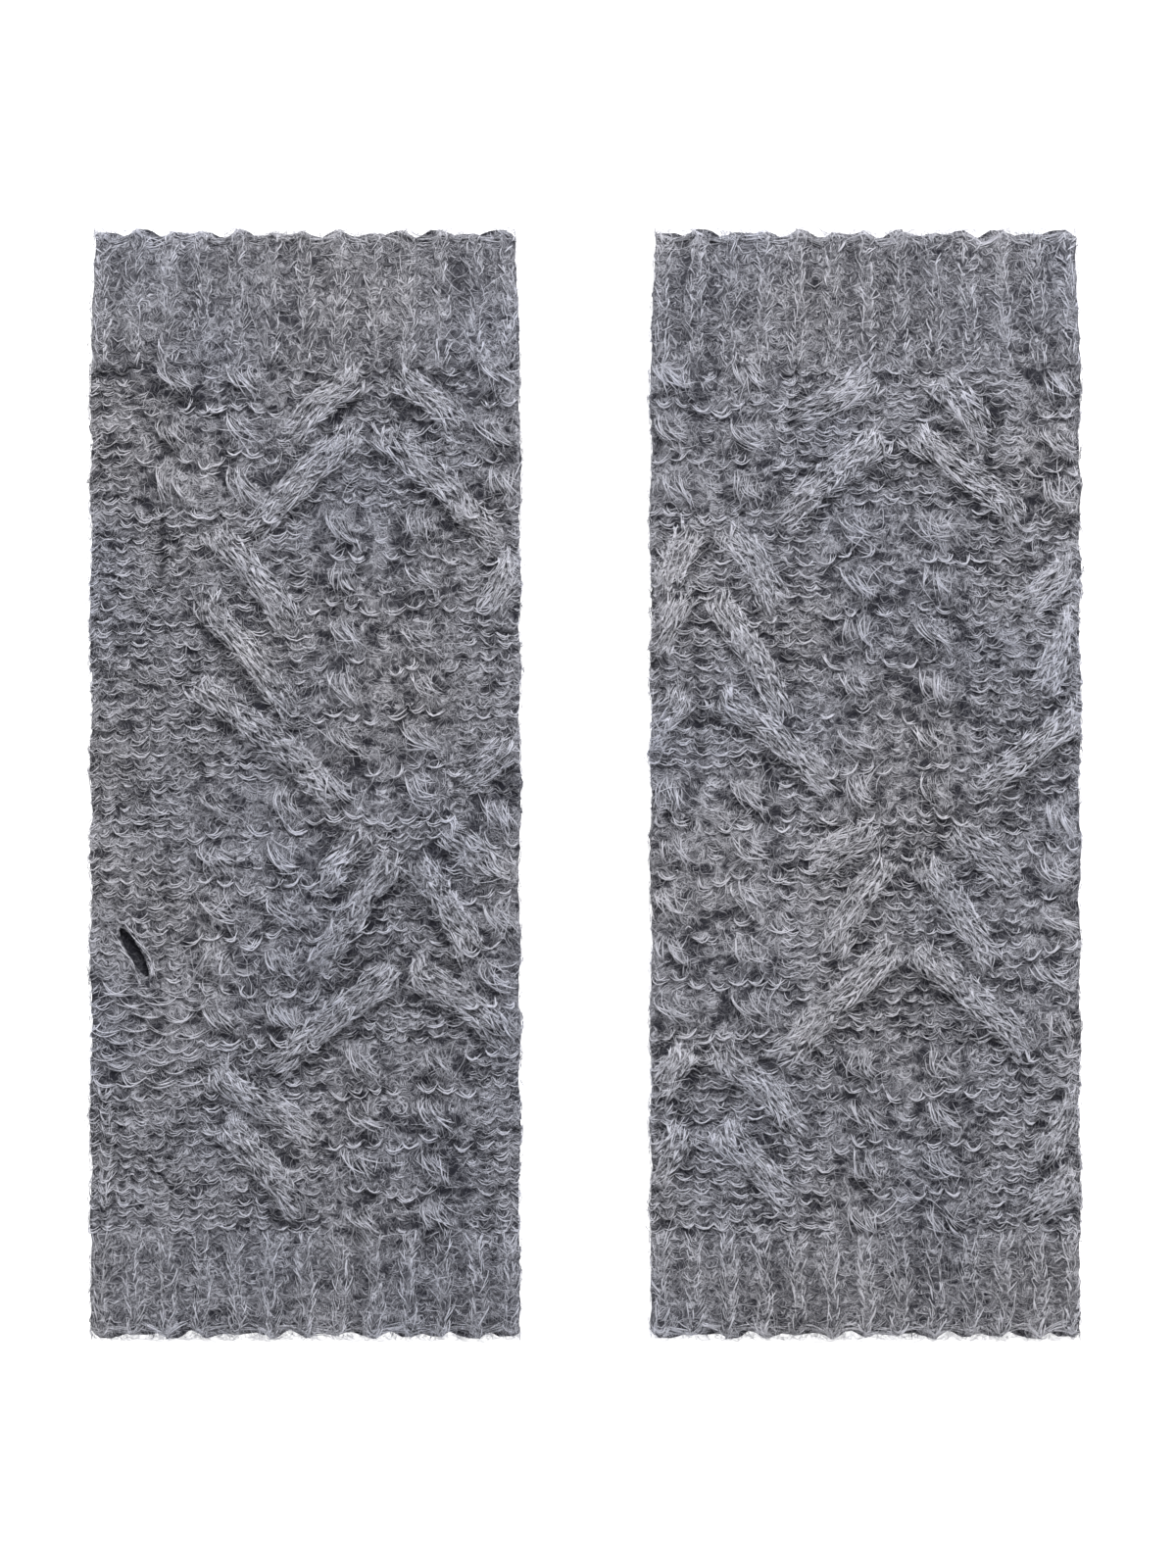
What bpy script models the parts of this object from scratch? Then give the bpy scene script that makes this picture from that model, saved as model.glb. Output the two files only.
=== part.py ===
"""A pair of fingerless mohair mitts with cables, each knitted as a tube and laid flat.

X runs to the right mitt, Y towards the arm ends and Z up from the surface they lie on.
The origin is under the middle of the pair. All sizes are in metres.
"""
import math
from collections import namedtuple

import bmesh
import bpy
import numpy as np
from mathutils import Matrix, Vector

MILLIMETRE = 0.001

# The mitts and where they lie
MITT_WIDTH = 0.0960
MITT_SPACING = 0.1252
BODY_BOTTOM = -0.1002
BODY_TOP = 0.0936
ARM_END = 0.1242
HAND_END = -0.1242
SEAM_GAP = 0.0003

# The two walls that lie on each other
PALM_THICKNESS = 0.0034
FRONT_THICKNESS = 0.0030
FRONT_FLOOR = PALM_THICKNESS + SEAM_GAP
FOLD_RADIUS = 0.0045
FOLD_RIM = 0.0007

# The side edges wave a little where the cables pull the cloth in
WAVE_DEPTH = 0.0007
WAVE_LENGTH = 0.0262
CUFF_NARROWING = 0.0010
CUFF_WAVE_SHARE = 0.25
WAVE_START = {"left": 0.9, "right": 2.3}
WAVE_SIDE_SHIFT = 1.7

# One knit stitch by one purl stitch makes a rib, and the free ends are bound off in a bead
RIBS_ACROSS = 13
RIB_RELIEF = 0.0011
SCALLOP_DEPTH = 0.0013
EDGE_BEAD = 0.0006
END_RADIUS = 0.0016
FRONT_END_STEPS = (0.0034, 0.0015, 0.0004)
BACK_END_STEPS = (0.0004,)
SAMPLES_PER_RIB = 4

# The cables
LEG_HALF_WIDTH = 0.0042
LEG_FULLNESS = 0.7
LEG_RISE = 0.0035
LEG_FADE = 0.0085
LEG_BOW = 0.0010
CELL_PITCH = 0.0117
CELL_HALF_LENGTH = 0.0062
CELL_HALF_WIDTH = 0.0039
CELL_LEAN = math.radians(40)
CELL_RELIEF = 0.0019

# How finely the walls are worked out, and the share of a cable panel's faces that is kept
GRID_STEP = 0.0012
KEPT_SHARE = 0.13
PALM_STEP = WAVE_LENGTH / 3
FOLD_COLUMNS = 6
END_SNAP = 0.0002
SHARP_ANGLE = math.radians(40)

# The thumb slit, in the frame of the left mitt's front
SLIT_START = Vector((-0.0412, -0.0321))
SLIT_END = Vector((-0.0350, -0.0431))
SLIT_WIDTH = 0.0030
SLIT_SIDES = 16
CUT_TOP = 0.0150

COLOURS = {
    "cable_panel": (0.176, 0.176, 0.202),
    "palm_panel": (0.165, 0.165, 0.190),
    "rib": (0.190, 0.190, 0.216),
}
ROUGHNESS = 0.95

# Each pair of legs leaves a crest and runs down to both sides. Places are in millimetres in
# the mitt's own frame, with X from its middle and Y from the middle of the pair. A leg with
# no reach isn't there, and what reaches past the fold is cut off by it.
CablePair = namedtuple(
    "CablePair", "crest_x crest_y half_gap left_reach left_drop right_reach right_drop relief")

CABLES = {
    "left": (
        CablePair(16.7, 91.0, 3.6, 15.4, 12.3, 13.9, 11.4, 2.3),
        CablePair(14.5, 78.1, 2.9, 22.0, 21.1, 25.1, 24.4, 2.8),
        CablePair(22.2, -10.8, 8.1, 9.0, 11.2, 9.7, 8.1, 1.7),
        CablePair(22.2, -17.2, 2.4, 15.6, 22.9, 12.1, 19.6, 2.8),
        CablePair(22.2, -41.6, 1.0, 26.8, 21.1, 21.8, 15.2, 2.8),
        CablePair(-22.9, 56.1, 2.6, 0, 0, 16.3, 19.6, 2.6),
        CablePair(-25.3, 40.5, 2.6, 0, 0, 18.7, 23.5, 2.8),
        CablePair(-25.9, 21.8, 2.6, 0, 0, 29.3, 24.4, 2.8),
        CablePair(-22.8, -64.5, 2.6, 0, 0, 21.3, 14.5, 2.4),
        CablePair(-21.1, -75.9, 2.6, 0, 0, 16.3, 17.8, 2.6),
        CablePair(50.0, 49.5, 2.7, 4.8, 9.9, 0, 0, 2.2),
        CablePair(50.6, 8.4, 2.6, 11.4, 7.5, 0, 0, 2.4),
    ),
    "right": (
        CablePair(9.2, 89.8, 6.5, 16.3, 8.1, 10.6, 12.6, 2.3),
        CablePair(7.6, 77.2, 3.3, 22.0, 18.0, 22.7, 18.0, 2.8),
        CablePair(10.9, -10.3, 8.1, 15.0, 9.0, 13.0, 11.2, 1.7),
        CablePair(8.8, -17.2, 3.6, 12.3, 19.6, 14.7, 22.9, 2.8),
        CablePair(8.8, -37.4, 2.1, 25.3, 24.4, 24.4, 21.3, 2.8),
        CablePair(-34.9, 56.7, 3.3, 6.6, 14.1, 11.4, 16.3, 2.2),
        CablePair(-37.0, 42.2, 3.0, 6.0, 12.1, 15.4, 27.5, 2.6),
        CablePair(-36.5, 19.6, 3.4, 7.7, 9.9, 24.4, 19.6, 2.8),
        CablePair(-36.5, -59.6, 3.4, 6.6, 12.1, 17.8, 17.8, 2.6),
        CablePair(-36.5, -77.4, 3.4, 6.6, 9.9, 14.5, 14.5, 2.4),
        CablePair(49.2, 48.0, 2.7, 9.7, 8.1, 0, 0, 2.2),
        CablePair(50.2, 36.5, 2.7, 7.3, 14.7, 0, 0, 1.8),
        CablePair(51.0, 15.4, 2.7, 21.1, 16.3, 0, 0, 2.8),
        CablePair(50.8, -70.8, 2.7, 7.9, 13.0, 0, 0, 2.4),
        CablePair(50.8, -85.8, 2.7, 11.0, 11.0, 0, 0, 2.4),
    ),
}

# Between the large cables stand columns of small crossings, one above the other
CrossingColumn = namedtuple("CrossingColumn", "x top_y cells")

CROSSINGS = {
    "left": (
        CrossingColumn(9.2, 56.5, 6),
        CrossingColumn(26.0, 56.5, 6),
        CrossingColumn(13.2, -62.5, 4),
        CrossingColumn(29.5, -62.5, 4),
        CrossingColumn(-28.6, 90.0, 3),
        CrossingColumn(-13.6, 90.0, 3),
        CrossingColumn(-19.1, -5.0, 5),
        CrossingColumn(-4.6, -5.0, 5),
        CrossingColumn(43.5, 90.0, 3),
        CrossingColumn(43.5, -7.0, 5),
    ),
    "right": (
        CrossingColumn(-1.4, 56.5, 6),
        CrossingColumn(15.7, 56.5, 6),
        CrossingColumn(0.1, -62.5, 4),
        CrossingColumn(17.3, -62.5, 4),
        CrossingColumn(-43.0, 90.0, 3),
        CrossingColumn(-26.0, 90.0, 3),
        CrossingColumn(-43.0, -3.0, 5),
        CrossingColumn(-26.0, -3.0, 5),
        CrossingColumn(43.0, 88.0, 3),
        CrossingColumn(43.0, -8.0, 5),
    ),
}


def new_collection(name):
    collection = bpy.data.collections.new(name)
    bpy.context.scene.collection.children.link(collection)
    return collection


def yarn_material(name, colour):
    material = bpy.data.materials.new(name)
    material.use_nodes = True
    shader = material.node_tree.nodes["Principled BSDF"]
    shader.inputs["Base Color"].default_value = (*colour, 1.0)
    shader.inputs["Roughness"].default_value = ROUGHNESS
    shader.inputs["Metallic"].default_value = 0.0
    return material


def ease(value):
    """A soft step from 0 to 1."""
    share = np.clip(value, 0.0, 1.0)
    return share * share * (3.0 - 2.0 * share)


def side_x(mitt, side, y):
    """The side edge of a laid mitt, with side -1 on its left and +1 on its right."""
    turn = WAVE_START[mitt] + WAVE_SIDE_SHIFT * side
    past_body = np.maximum(y - BODY_TOP, BODY_BOTTOM - y) / WAVE_LENGTH
    depth = WAVE_DEPTH * (1.0 - (1.0 - CUFF_WAVE_SHARE) * ease(past_body + 0.5))
    wave = depth * np.sin(2 * math.pi * y / WAVE_LENGTH + turn)
    cuff = CUFF_NARROWING * ease((y - BODY_TOP) / (ARM_END - BODY_TOP))
    return side * (MITT_WIDTH / 2 - cuff + wave)


def rib_phase(x_share):
    """The phase of the ribs between two side edges."""
    return 2 * math.pi * RIBS_ACROSS * x_share


def rib_height(x_share):
    """The ribs stand up where the knit stitches run and sink between them."""
    return RIB_RELIEF * (0.5 - 0.5 * np.cos(rib_phase(x_share)))


def scalloped_edge(end_y):
    """The cast-on or bound-off edge, which bulges at each knit stitch."""
    inward = -math.copysign(SCALLOP_DEPTH, end_y)
    return lambda x_share: end_y + inward * (0.5 + 0.5 * np.cos(rib_phase(x_share)))


def straight_edge(end_y):
    return lambda x_share: np.full_like(x_share, end_y)


def leg_height(x, y, start, end, relief):
    """A leg of a cable, a round band that climbs out of its crest and fades at its foot."""
    length = (end - start).length
    along = (end - start) / length
    distance = (x - start.x) * along.x + (y - start.y) * along.y
    share = np.clip(distance / length, 0.0, 1.0)
    bow = 4.0 * LEG_BOW * share * (1.0 - share) * math.copysign(1.0, along.x)
    offset = (x - start.x) * along.y - (y - start.y) * along.x + bow
    profile = np.clip(1.0 - (offset / LEG_HALF_WIDTH) ** 2, 0.0, 1.0) ** LEG_FULLNESS
    rise = ease(distance / LEG_RISE + 0.5)
    fade = ease((length - distance) / LEG_FADE + 0.5)
    return relief * profile * rise * fade


def crossing_height(x, y, centre_x, centre_y):
    """A small crossing, an oval mound whose upper strand leans down to the right."""
    dx = x - centre_x
    dy = y - centre_y
    along = (dx * math.cos(CELL_LEAN) - dy * math.sin(CELL_LEAN)) / CELL_HALF_LENGTH
    offset = (dx * math.sin(CELL_LEAN) + dy * math.cos(CELL_LEAN)) / CELL_HALF_WIDTH
    return CELL_RELIEF * np.clip(1.0 - along ** 2 - offset ** 2, 0.0, 1.0) ** LEG_FULLNESS


def cable_height(mitt, x, y):
    """The relief of every cable and crossing over the ground of the front."""
    height = np.zeros_like(x)
    for pair in CABLES[mitt]:
        crest = Vector((pair.crest_x, pair.crest_y)) * MILLIMETRE
        legs = ((-1, pair.left_reach, pair.left_drop), (1, pair.right_reach, pair.right_drop))
        for side, reach, drop in legs:
            if not reach:
                continue
            start = crest + Vector((side * pair.half_gap, 0.0)) * MILLIMETRE
            end = start + Vector((side * reach, -drop)) * MILLIMETRE
            leg = leg_height(x, y, start, end, pair.relief * MILLIMETRE)
            height = np.maximum(height, leg)
    for column in CROSSINGS[mitt]:
        for cell in range(column.cells):
            centre_y = column.top_y * MILLIMETRE - cell * CELL_PITCH
            mound = crossing_height(x, y, column.x * MILLIMETRE, centre_y)
            height = np.maximum(height, mound)
    return height


def fold_share(mitt, x, y):
    """How much of a wall's height is left as it rounds down to the side folds."""
    inside = np.minimum(x - side_x(mitt, -1, y), side_x(mitt, 1, y) - x)
    near = np.clip(1.0 - inside / FOLD_RADIUS, 0.0, 1.0)
    return np.sqrt(np.clip(1.0 - near * near, 0.0, 1.0))


def end_share(y, end_y):
    """The same for the free end of a cuff, whose place is given for each point."""
    near = np.clip(1.0 - np.abs(y - end_y) / END_RADIUS, 0.0, 1.0)
    return np.sqrt(np.clip(1.0 - near * near, 0.0, 1.0))


def fold_columns():
    """Shares of the width that are close together at the folds and far apart between them."""
    turns = np.linspace(0.0, math.pi / 2, FOLD_COLUMNS)
    near = FOLD_RADIUS / MITT_WIDTH * (1.0 - np.cos(turns))
    return np.concatenate([near, [0.5], 1.0 - near[::-1]])


def rib_columns():
    return np.linspace(0.0, 1.0, RIBS_ACROSS * SAMPLES_PER_RIB + 1)


def even_rows(step):
    return np.linspace(0.0, 1.0, round((BODY_TOP - BODY_BOTTOM) / step) + 1)


def cuff_rows(length, end_steps):
    """Shares of a cuff's length, from its seam to its free end, close together at the end."""
    return 1.0 - np.array([length, *end_steps, 0.0]) / length


def spread(mitt, x_shares, y_shares, from_edge, to_edge):
    """A flat grid of points between two end edges and the two side edges."""
    x_share, y_share = np.meshgrid(x_shares, y_shares)
    first = from_edge(x_share)
    last = to_edge(x_share)
    y = first + (last - first) * y_share
    left = side_x(mitt, -1, y)
    x = left + (side_x(mitt, 1, y) - left) * x_share
    return x_share, x, y, last


def surface_mesh(name, x, y, z):
    """A grid with its points moved to the places given, row by row."""
    rows, columns = x.shape
    body = bmesh.new()
    bmesh.ops.create_grid(body, x_segments=columns - 1, y_segments=rows - 1, size=1.0)
    ordered = sorted(body.verts, key=lambda point: (round(point.co.y, 5), point.co.x))
    for point, place in zip(ordered, zip(x.flat, y.flat, z.flat)):
        point.co = place
    mesh = bpy.data.meshes.new(name)
    body.to_mesh(mesh)
    body.free()
    return mesh


def thin_out(mesh):
    """The same surface with fewer faces, most of them where it bends, and straight ends."""
    guide = bpy.data.objects.new(mesh.name + "_fine", mesh)
    bpy.context.scene.collection.objects.link(guide)
    modifier = guide.modifiers.new("Decimate", "DECIMATE")
    modifier.ratio = KEPT_SHARE
    thinned = bpy.data.meshes.new_from_object(
        guide.evaluated_get(bpy.context.evaluated_depsgraph_get()))
    bpy.data.objects.remove(guide, do_unlink=True)
    for point in thinned.vertices:
        for end_y in (BODY_BOTTOM, BODY_TOP):
            if abs(point.co.y - end_y) < END_SNAP:
                point.co.y = end_y
        point.co.z = max(point.co.z, FRONT_FLOOR + FOLD_RIM)
    return thinned


def close_wall(mesh, plain_z):
    """Close a shaped surface into a wall whose other side is plain, at the height given."""
    body = bmesh.new()
    body.from_mesh(mesh)
    rim = [edge for edge in body.edges if edge.is_boundary]
    grown = bmesh.ops.extrude_edge_only(body, edges=rim)["geom"]
    for item in grown:
        if isinstance(item, bmesh.types.BMVert):
            item.co.z = plain_z
    plain_rim = [item for item in grown
                 if isinstance(item, bmesh.types.BMEdge) and item.is_boundary]
    bmesh.ops.edgeloop_fill(body, edges=plain_rim)
    bmesh.ops.recalc_face_normals(body, faces=body.faces)
    body.to_mesh(mesh)
    body.free()
    mesh.shade_smooth()
    mesh.set_sharp_from_angle(angle=SHARP_ANGLE)
    return mesh


def front_z(share, relief):
    """The shaped side of a front wall, with its relief fading out over a rounded edge."""
    ground = FOLD_RIM + (FRONT_THICKNESS - FOLD_RIM) * share
    return FRONT_FLOOR + ground + relief * ease(share)


def palm_z(share):
    """The underside of a palm wall, flat on the table and rounded up at its edges."""
    return (PALM_THICKNESS - FOLD_RIM) * (1.0 - share)


def cable_panel(mitt):
    width_steps = np.linspace(0.0, 1.0, round(MITT_WIDTH / GRID_STEP) + 1)
    _, x, y, _ = spread(mitt, width_steps, even_rows(GRID_STEP),
                        straight_edge(BODY_BOTTOM), straight_edge(BODY_TOP))
    z = front_z(fold_share(mitt, x, y), cable_height(mitt, x, y))
    return close_wall(thin_out(surface_mesh("cable_panel", x, y, z)), FRONT_FLOOR)


def palm_panel(mitt):
    _, x, y, _ = spread(mitt, fold_columns(), even_rows(PALM_STEP),
                        straight_edge(BODY_BOTTOM), straight_edge(BODY_TOP))
    z = palm_z(fold_share(mitt, x, y))
    return close_wall(surface_mesh("palm_panel", x, y, z), PALM_THICKNESS)


def rib_front(mitt, seam_y, end_y):
    rows = cuff_rows(abs(end_y - seam_y), FRONT_END_STEPS)
    x_share, x, y, end = spread(mitt, rib_columns(), rows,
                                straight_edge(seam_y), scalloped_edge(end_y))
    bead = EDGE_BEAD * ease(2.0 - np.abs(y - end) / END_RADIUS)
    share = fold_share(mitt, x, y) * end_share(y, end)
    z = front_z(share, rib_height(x_share) + bead)
    return close_wall(surface_mesh("rib_front", x, y, z), FRONT_FLOOR)


def rib_back(mitt, seam_y, end_y):
    rows = cuff_rows(abs(end_y - seam_y), BACK_END_STEPS)
    _, x, y, end = spread(mitt, rib_columns(), rows,
                          straight_edge(seam_y), scalloped_edge(end_y))
    z = palm_z(fold_share(mitt, x, y) * end_share(y, end))
    return close_wall(surface_mesh("rib_back", x, y, z), PALM_THICKNESS)


def slit_cutter(mitt, low_z, high_z, collection):
    """A pointed oval post through one wall, at the thumb."""
    mirror = Vector((1.0, 1.0)) if mitt == "left" else Vector((-1.0, 1.0))
    start = SLIT_START * mirror
    end = SLIT_END * mirror
    along = end - start
    bpy.ops.mesh.primitive_cylinder_add(vertices=SLIT_SIDES, radius=0.5, depth=high_z - low_z)
    cutter = bpy.context.object
    cutter.name = f"{mitt}_thumb_slit_cutter"
    cutter.data.transform(Matrix.Diagonal((along.length, SLIT_WIDTH, 1.0, 1.0)))
    centre = (start + end) / 2
    cutter.location = (centre.x, centre.y, (low_z + high_z) / 2)
    cutter.rotation_euler.z = math.atan2(along.y, along.x)
    cutter.hide_render = True
    cutter.display_type = "WIRE"
    for home in list(cutter.users_collection):
        home.objects.unlink(cutter)
    collection.objects.link(cutter)
    return cutter


def cut_slit(piece, cutter):
    cut = piece.modifiers.new("Thumb slit", "BOOLEAN")
    cut.operation = "DIFFERENCE"
    cut.solver = "EXACT"
    cut.object = cutter


def build_mitt(mitt, middle_x, parts, cutters, materials):
    """Every piece of one mitt, under an empty in the middle of where it lies."""
    place = bpy.data.objects.new(f"{mitt}_mitt", None)
    place.location.x = middle_x
    parts.objects.link(place)
    arm = (BODY_TOP + SEAM_GAP, ARM_END)
    hand = (BODY_BOTTOM - SEAM_GAP, HAND_END)
    meshes = {
        "cable_panel": (cable_panel(mitt), "cable_panel"),
        "palm_panel": (palm_panel(mitt), "palm_panel"),
        "arm_rib_front": (rib_front(mitt, *arm), "rib"),
        "arm_rib_back": (rib_back(mitt, *arm), "rib"),
        "hand_rib_front": (rib_front(mitt, *hand), "rib"),
        "hand_rib_back": (rib_back(mitt, *hand), "rib"),
    }
    pieces = {}
    for name, (mesh, material) in meshes.items():
        piece = bpy.data.objects.new(f"{mitt}_{name}", mesh)
        piece.data.materials.append(materials[material])
        piece.parent = place
        parts.objects.link(piece)
        pieces[name] = piece
    if mitt == "left":
        cutter = slit_cutter(mitt, FRONT_FLOOR - SEAM_GAP / 2, CUT_TOP, cutters)
        cut_slit(pieces["cable_panel"], cutter)
    else:
        cutter = slit_cutter(mitt, -CUT_TOP, FRONT_FLOOR - SEAM_GAP / 2, cutters)
        cut_slit(pieces["palm_panel"], cutter)
    cutter.parent = place


def main():
    for item in list(bpy.data.objects):
        bpy.data.objects.remove(item, do_unlink=True)
    parts = new_collection("cabled_mohair_mitts")
    cutters = new_collection("cutters")
    materials = {name: yarn_material(name, colour) for name, colour in COLOURS.items()}
    build_mitt("left", -MITT_SPACING / 2, parts, cutters, materials)
    build_mitt("right", MITT_SPACING / 2, parts, cutters, materials)


main()
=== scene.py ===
"""The looks of a pair of cabled mohair mitts: cloth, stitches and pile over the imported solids."""
import math
from collections import namedtuple

import bmesh
import bpy
import numpy as np
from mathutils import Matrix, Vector


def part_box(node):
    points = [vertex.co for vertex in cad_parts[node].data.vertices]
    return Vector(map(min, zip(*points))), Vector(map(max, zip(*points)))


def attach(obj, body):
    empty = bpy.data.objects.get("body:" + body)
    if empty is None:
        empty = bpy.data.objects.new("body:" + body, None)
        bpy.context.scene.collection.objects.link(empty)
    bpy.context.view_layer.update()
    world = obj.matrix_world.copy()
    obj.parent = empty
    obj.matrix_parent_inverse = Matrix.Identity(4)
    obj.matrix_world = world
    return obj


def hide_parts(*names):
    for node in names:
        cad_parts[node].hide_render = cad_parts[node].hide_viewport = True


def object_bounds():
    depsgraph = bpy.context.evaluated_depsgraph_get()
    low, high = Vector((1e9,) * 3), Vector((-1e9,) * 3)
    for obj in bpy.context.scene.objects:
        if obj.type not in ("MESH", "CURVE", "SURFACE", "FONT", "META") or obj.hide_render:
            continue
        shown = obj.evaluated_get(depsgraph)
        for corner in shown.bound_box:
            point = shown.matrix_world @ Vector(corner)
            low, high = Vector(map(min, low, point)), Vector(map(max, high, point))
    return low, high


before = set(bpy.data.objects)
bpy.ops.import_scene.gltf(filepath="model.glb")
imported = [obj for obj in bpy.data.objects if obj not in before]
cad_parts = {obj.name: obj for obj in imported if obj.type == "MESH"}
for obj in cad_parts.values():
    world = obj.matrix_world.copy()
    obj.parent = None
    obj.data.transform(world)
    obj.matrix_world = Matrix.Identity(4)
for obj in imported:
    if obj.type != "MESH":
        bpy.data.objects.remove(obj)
cad_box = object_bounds()

MILLIMETRE = 0.001

# The mitts, as the solids have them
MITTS = ("left", "right")
MIDDLE_X = {"left": -0.0626, "right": 0.0626}
PANEL_LOW, PANEL_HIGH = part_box("left_cable_panel")
BODY_BOTTOM = PANEL_LOW.y
BODY_TOP = PANEL_HIGH.y
ARM_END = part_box("left_arm_rib_front")[1].y
HAND_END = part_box("left_hand_rib_front")[0].y
MITT_WIDTH = 0.0960
PALM_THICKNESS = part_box("left_palm_panel")[1].z
FRONT_FLOOR = PANEL_LOW.z
FRONT_TOP = FRONT_FLOOR + 0.0030
FOLD_RADIUS = 0.0045
FOLD_RIM = 0.0007

# The waves of the two side edges, whose lengths sway
Swell = namedtuple("Swell", "depth length sway sway_turns")

SIDE_WAVE = Swell(0.0003, 0.0262, 1.4, 70.0)
SIDE_BUMP = Swell(0.00018, 0.0071, 2.0, 90.0)
WAVE_START = {"left": 0.9, "right": 2.3}
WAVE_SIDE_SHIFT = 1.7
CUFF_NARROWING = 0.0010
CUFF_WAVE_SHARE = 0.25
CUFF_BLEND = 0.001
RIB_RELIEF = 0.0011
SCALLOP_DEPTH = 0.0012
EDGE_WANDER = 0.0005
EDGE_WANDER_TURNS = 530.0
EDGE_WANDER_SHIFT = 40.0
END_RADIUS = 0.0016
MIDDLE_Z = (PALM_THICKNESS + FRONT_FLOOR) / 2
INNER_INSET = 0.003
FOLD_STEPS = 12
NODE_NAMES = ("cable_panel", "palm_panel", "arm_rib_front", "arm_rib_back", "hand_rib_front",
              "hand_rib_back")

# The gauge of the knitting, counted once round the tube
STITCHES_ROUND = 52
RIBS_ROUND = 26
BODY_ROWS = 73
ARM_RIB_ROWS = 12
HAND_RIB_ROWS = 11
ROW = (BODY_TOP - BODY_BOTTOM) / BODY_ROWS
STITCH = 2 * MITT_WIDTH / STITCHES_ROUND
EDGE_CLEAR = 0.0008
EDGE_YARN_CLEAR = 0.0001

# A yarn is drawn as a few plies, which lie a spread apart, with a painted highlight along each
# strand's outer side
Yarn = namedtuple("Yarn", "radius plies spread points sides core")

GROUND_YARN = Yarn(0.00017, 3, 0.00024, 6, 3, 0.50)
HIDDEN_YARN = Yarn(0.00022, 1, 0.00010, 5, 3, 0.15)
PALM_YARN = Yarn(0.00030, 1, 0.00010, 6, 3, 0.35)
WIDE_YARN = Yarn(0.00017, 3, 0.00026, 9, 3, 0.50)
LEG_YARN = Yarn(0.00019, 4, 0.00018, 5, 3, 0.55)
MOUND_YARN = Yarn(0.00014, 13, 0.00160, 6, 3, 0.30)
FLANK_YARN = Yarn(0.00018, 3, 0.00030, 7, 3, 0.40)
UNDER_YARN = Yarn(0.00015, 4, 0.00100, 5, 3, 0.25)
GARLAND_YARN = Yarn(0.00020, 3, 0.00022, 7, 3, 0.55)
RIB_YARN = Yarn(0.00019, 2, 0.00020, 5, 3, 0.45)
DIP_YARN = Yarn(0.00016, 1, 0.00045, 5, 3, 0.15)
EDGE_YARN = Yarn(0.00016, 8, 0.00070, 5, 3, 0.25)

COVERED = 0.0006
LOOP_UNEVEN = 0.16
LOOP_SWING = 0.2
PLY_SPLAY = 1.0
PLY_SLIDE = 0.6
LOOP_SLIP = 0.0002
ROW_SLIP = 0.0002
DRIFT = 0.0005
YARN_TONE = {"left": 0.26, "right": 0.33}
STITCH_MARL = 0.07
PLY_MARL = 0.07
LIT_STITCH = 0.38
LIT_SHARE = 0.26

# Slow waves over the cloth, in turns a metre, which sway with the other way over it
Ripple = namedtuple("Ripple", "turns sway sway_turns")

DRIFT_ROUND = Ripple(310.0, 1.3, 190.0)
DRIFT_ALONG = Ripple(260.0, 1.7, 150.0)
NAP_ROUND = Ripple(420.0, 2.0, 230.0)
NAP_ALONG = Ripple(380.0, 1.5, 170.0)
NAP_SWING = 1.6
NAP_FLICK = 0.8
NAP_FLICK_TURNS = (900.0, 700.0)

# The wall under the yarn
CLOTH_DEPTH = 0.0009
CLOTH_END_INSET = 0.0002
CLOTH_TONE = 0.14
CUFF_TONE = -0.035
# Painted light on crests, and painted shade in hollows, in rib dips and inside the tube
PAINTED_RELIEF_LIGHT_AND_SHADE = 0.32
PAINTED_CREST_LIGHT_CAP = 0.3
RIB_SHADE = 0.09
INSIDE_PAINTED_SHADE = -0.45
FOLD_CLOTH_DEPTH = 0.00005
FOLD_LOOP_DEPTH = 0.35
FRONT_COLUMNS = 78
PALM_COLUMNS = 52
OUTER_ROWS = 105
OUTER_LINES = np.linspace(HAND_END, ARM_END, OUTER_ROWS)
INNER_ROWS = 9

# The pile
SEED = 11
Fibres = namedtuple("Fibres", "count points length lift share_below")

LONG_FIBRES = Fibres(3000, 6, 0.0070, 0.00040, 0.2)
SHORT_FIBRES = Fibres(7200, 4, 0.0032, 0.00045, 0.2)
CUFF_THINNING = 0.3
EDGE_FIBRES = 2100
EDGE_FIBRE_BAND = 0.0010
EDGE_FIBRE_STRAY = 0.7
FOLD_FIBRES = 1300
FOLD_FIBRE_BAND = 0.0016
FOLD_FIBRE_LIFT = 0.00035
# Painted light on the fibres that reach past the bound edges
EDGE_FIBRE_PAINTED_LIGHT = 0.25
EDGE_FIBRE_FINER = 0.25
FIBRE_RADIUS = 0.00006
FIBRE_STRAY = 0.7
FIBRE_CURL = 1.3
FIBRE_WAVE = 0.5
FIBRE_LENGTH_SPREAD = 0.3
FIBRE_TONE = {"left": 0.54, "right": 0.59}
FIBRE_PAST_EDGE = 0.0008
FIBRE_HIGHEST = 0.0016
FIBRE_LIE = 0.00003
FIBRE_MARL = 0.24
FIBRE_GIRTHS = (0.75, 1.15)
FIBRE_SIDES = 3
FIBRE_UPRIGHT = 3.0

# The finish
HAIR_WAYS = 5
HAIR_FIRST_TURN = 0.35
HAIR_STEP = (7.3, 3.1)
HAIR_WARP_SCALE = 330.0
HAIR_ROUGHNESS = 0.65
HAIR_FADE_SCALE = 0.45
HAIR_FADE = (0.32, 0.56)
PATCH_STRENGTH = 0.4
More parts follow.
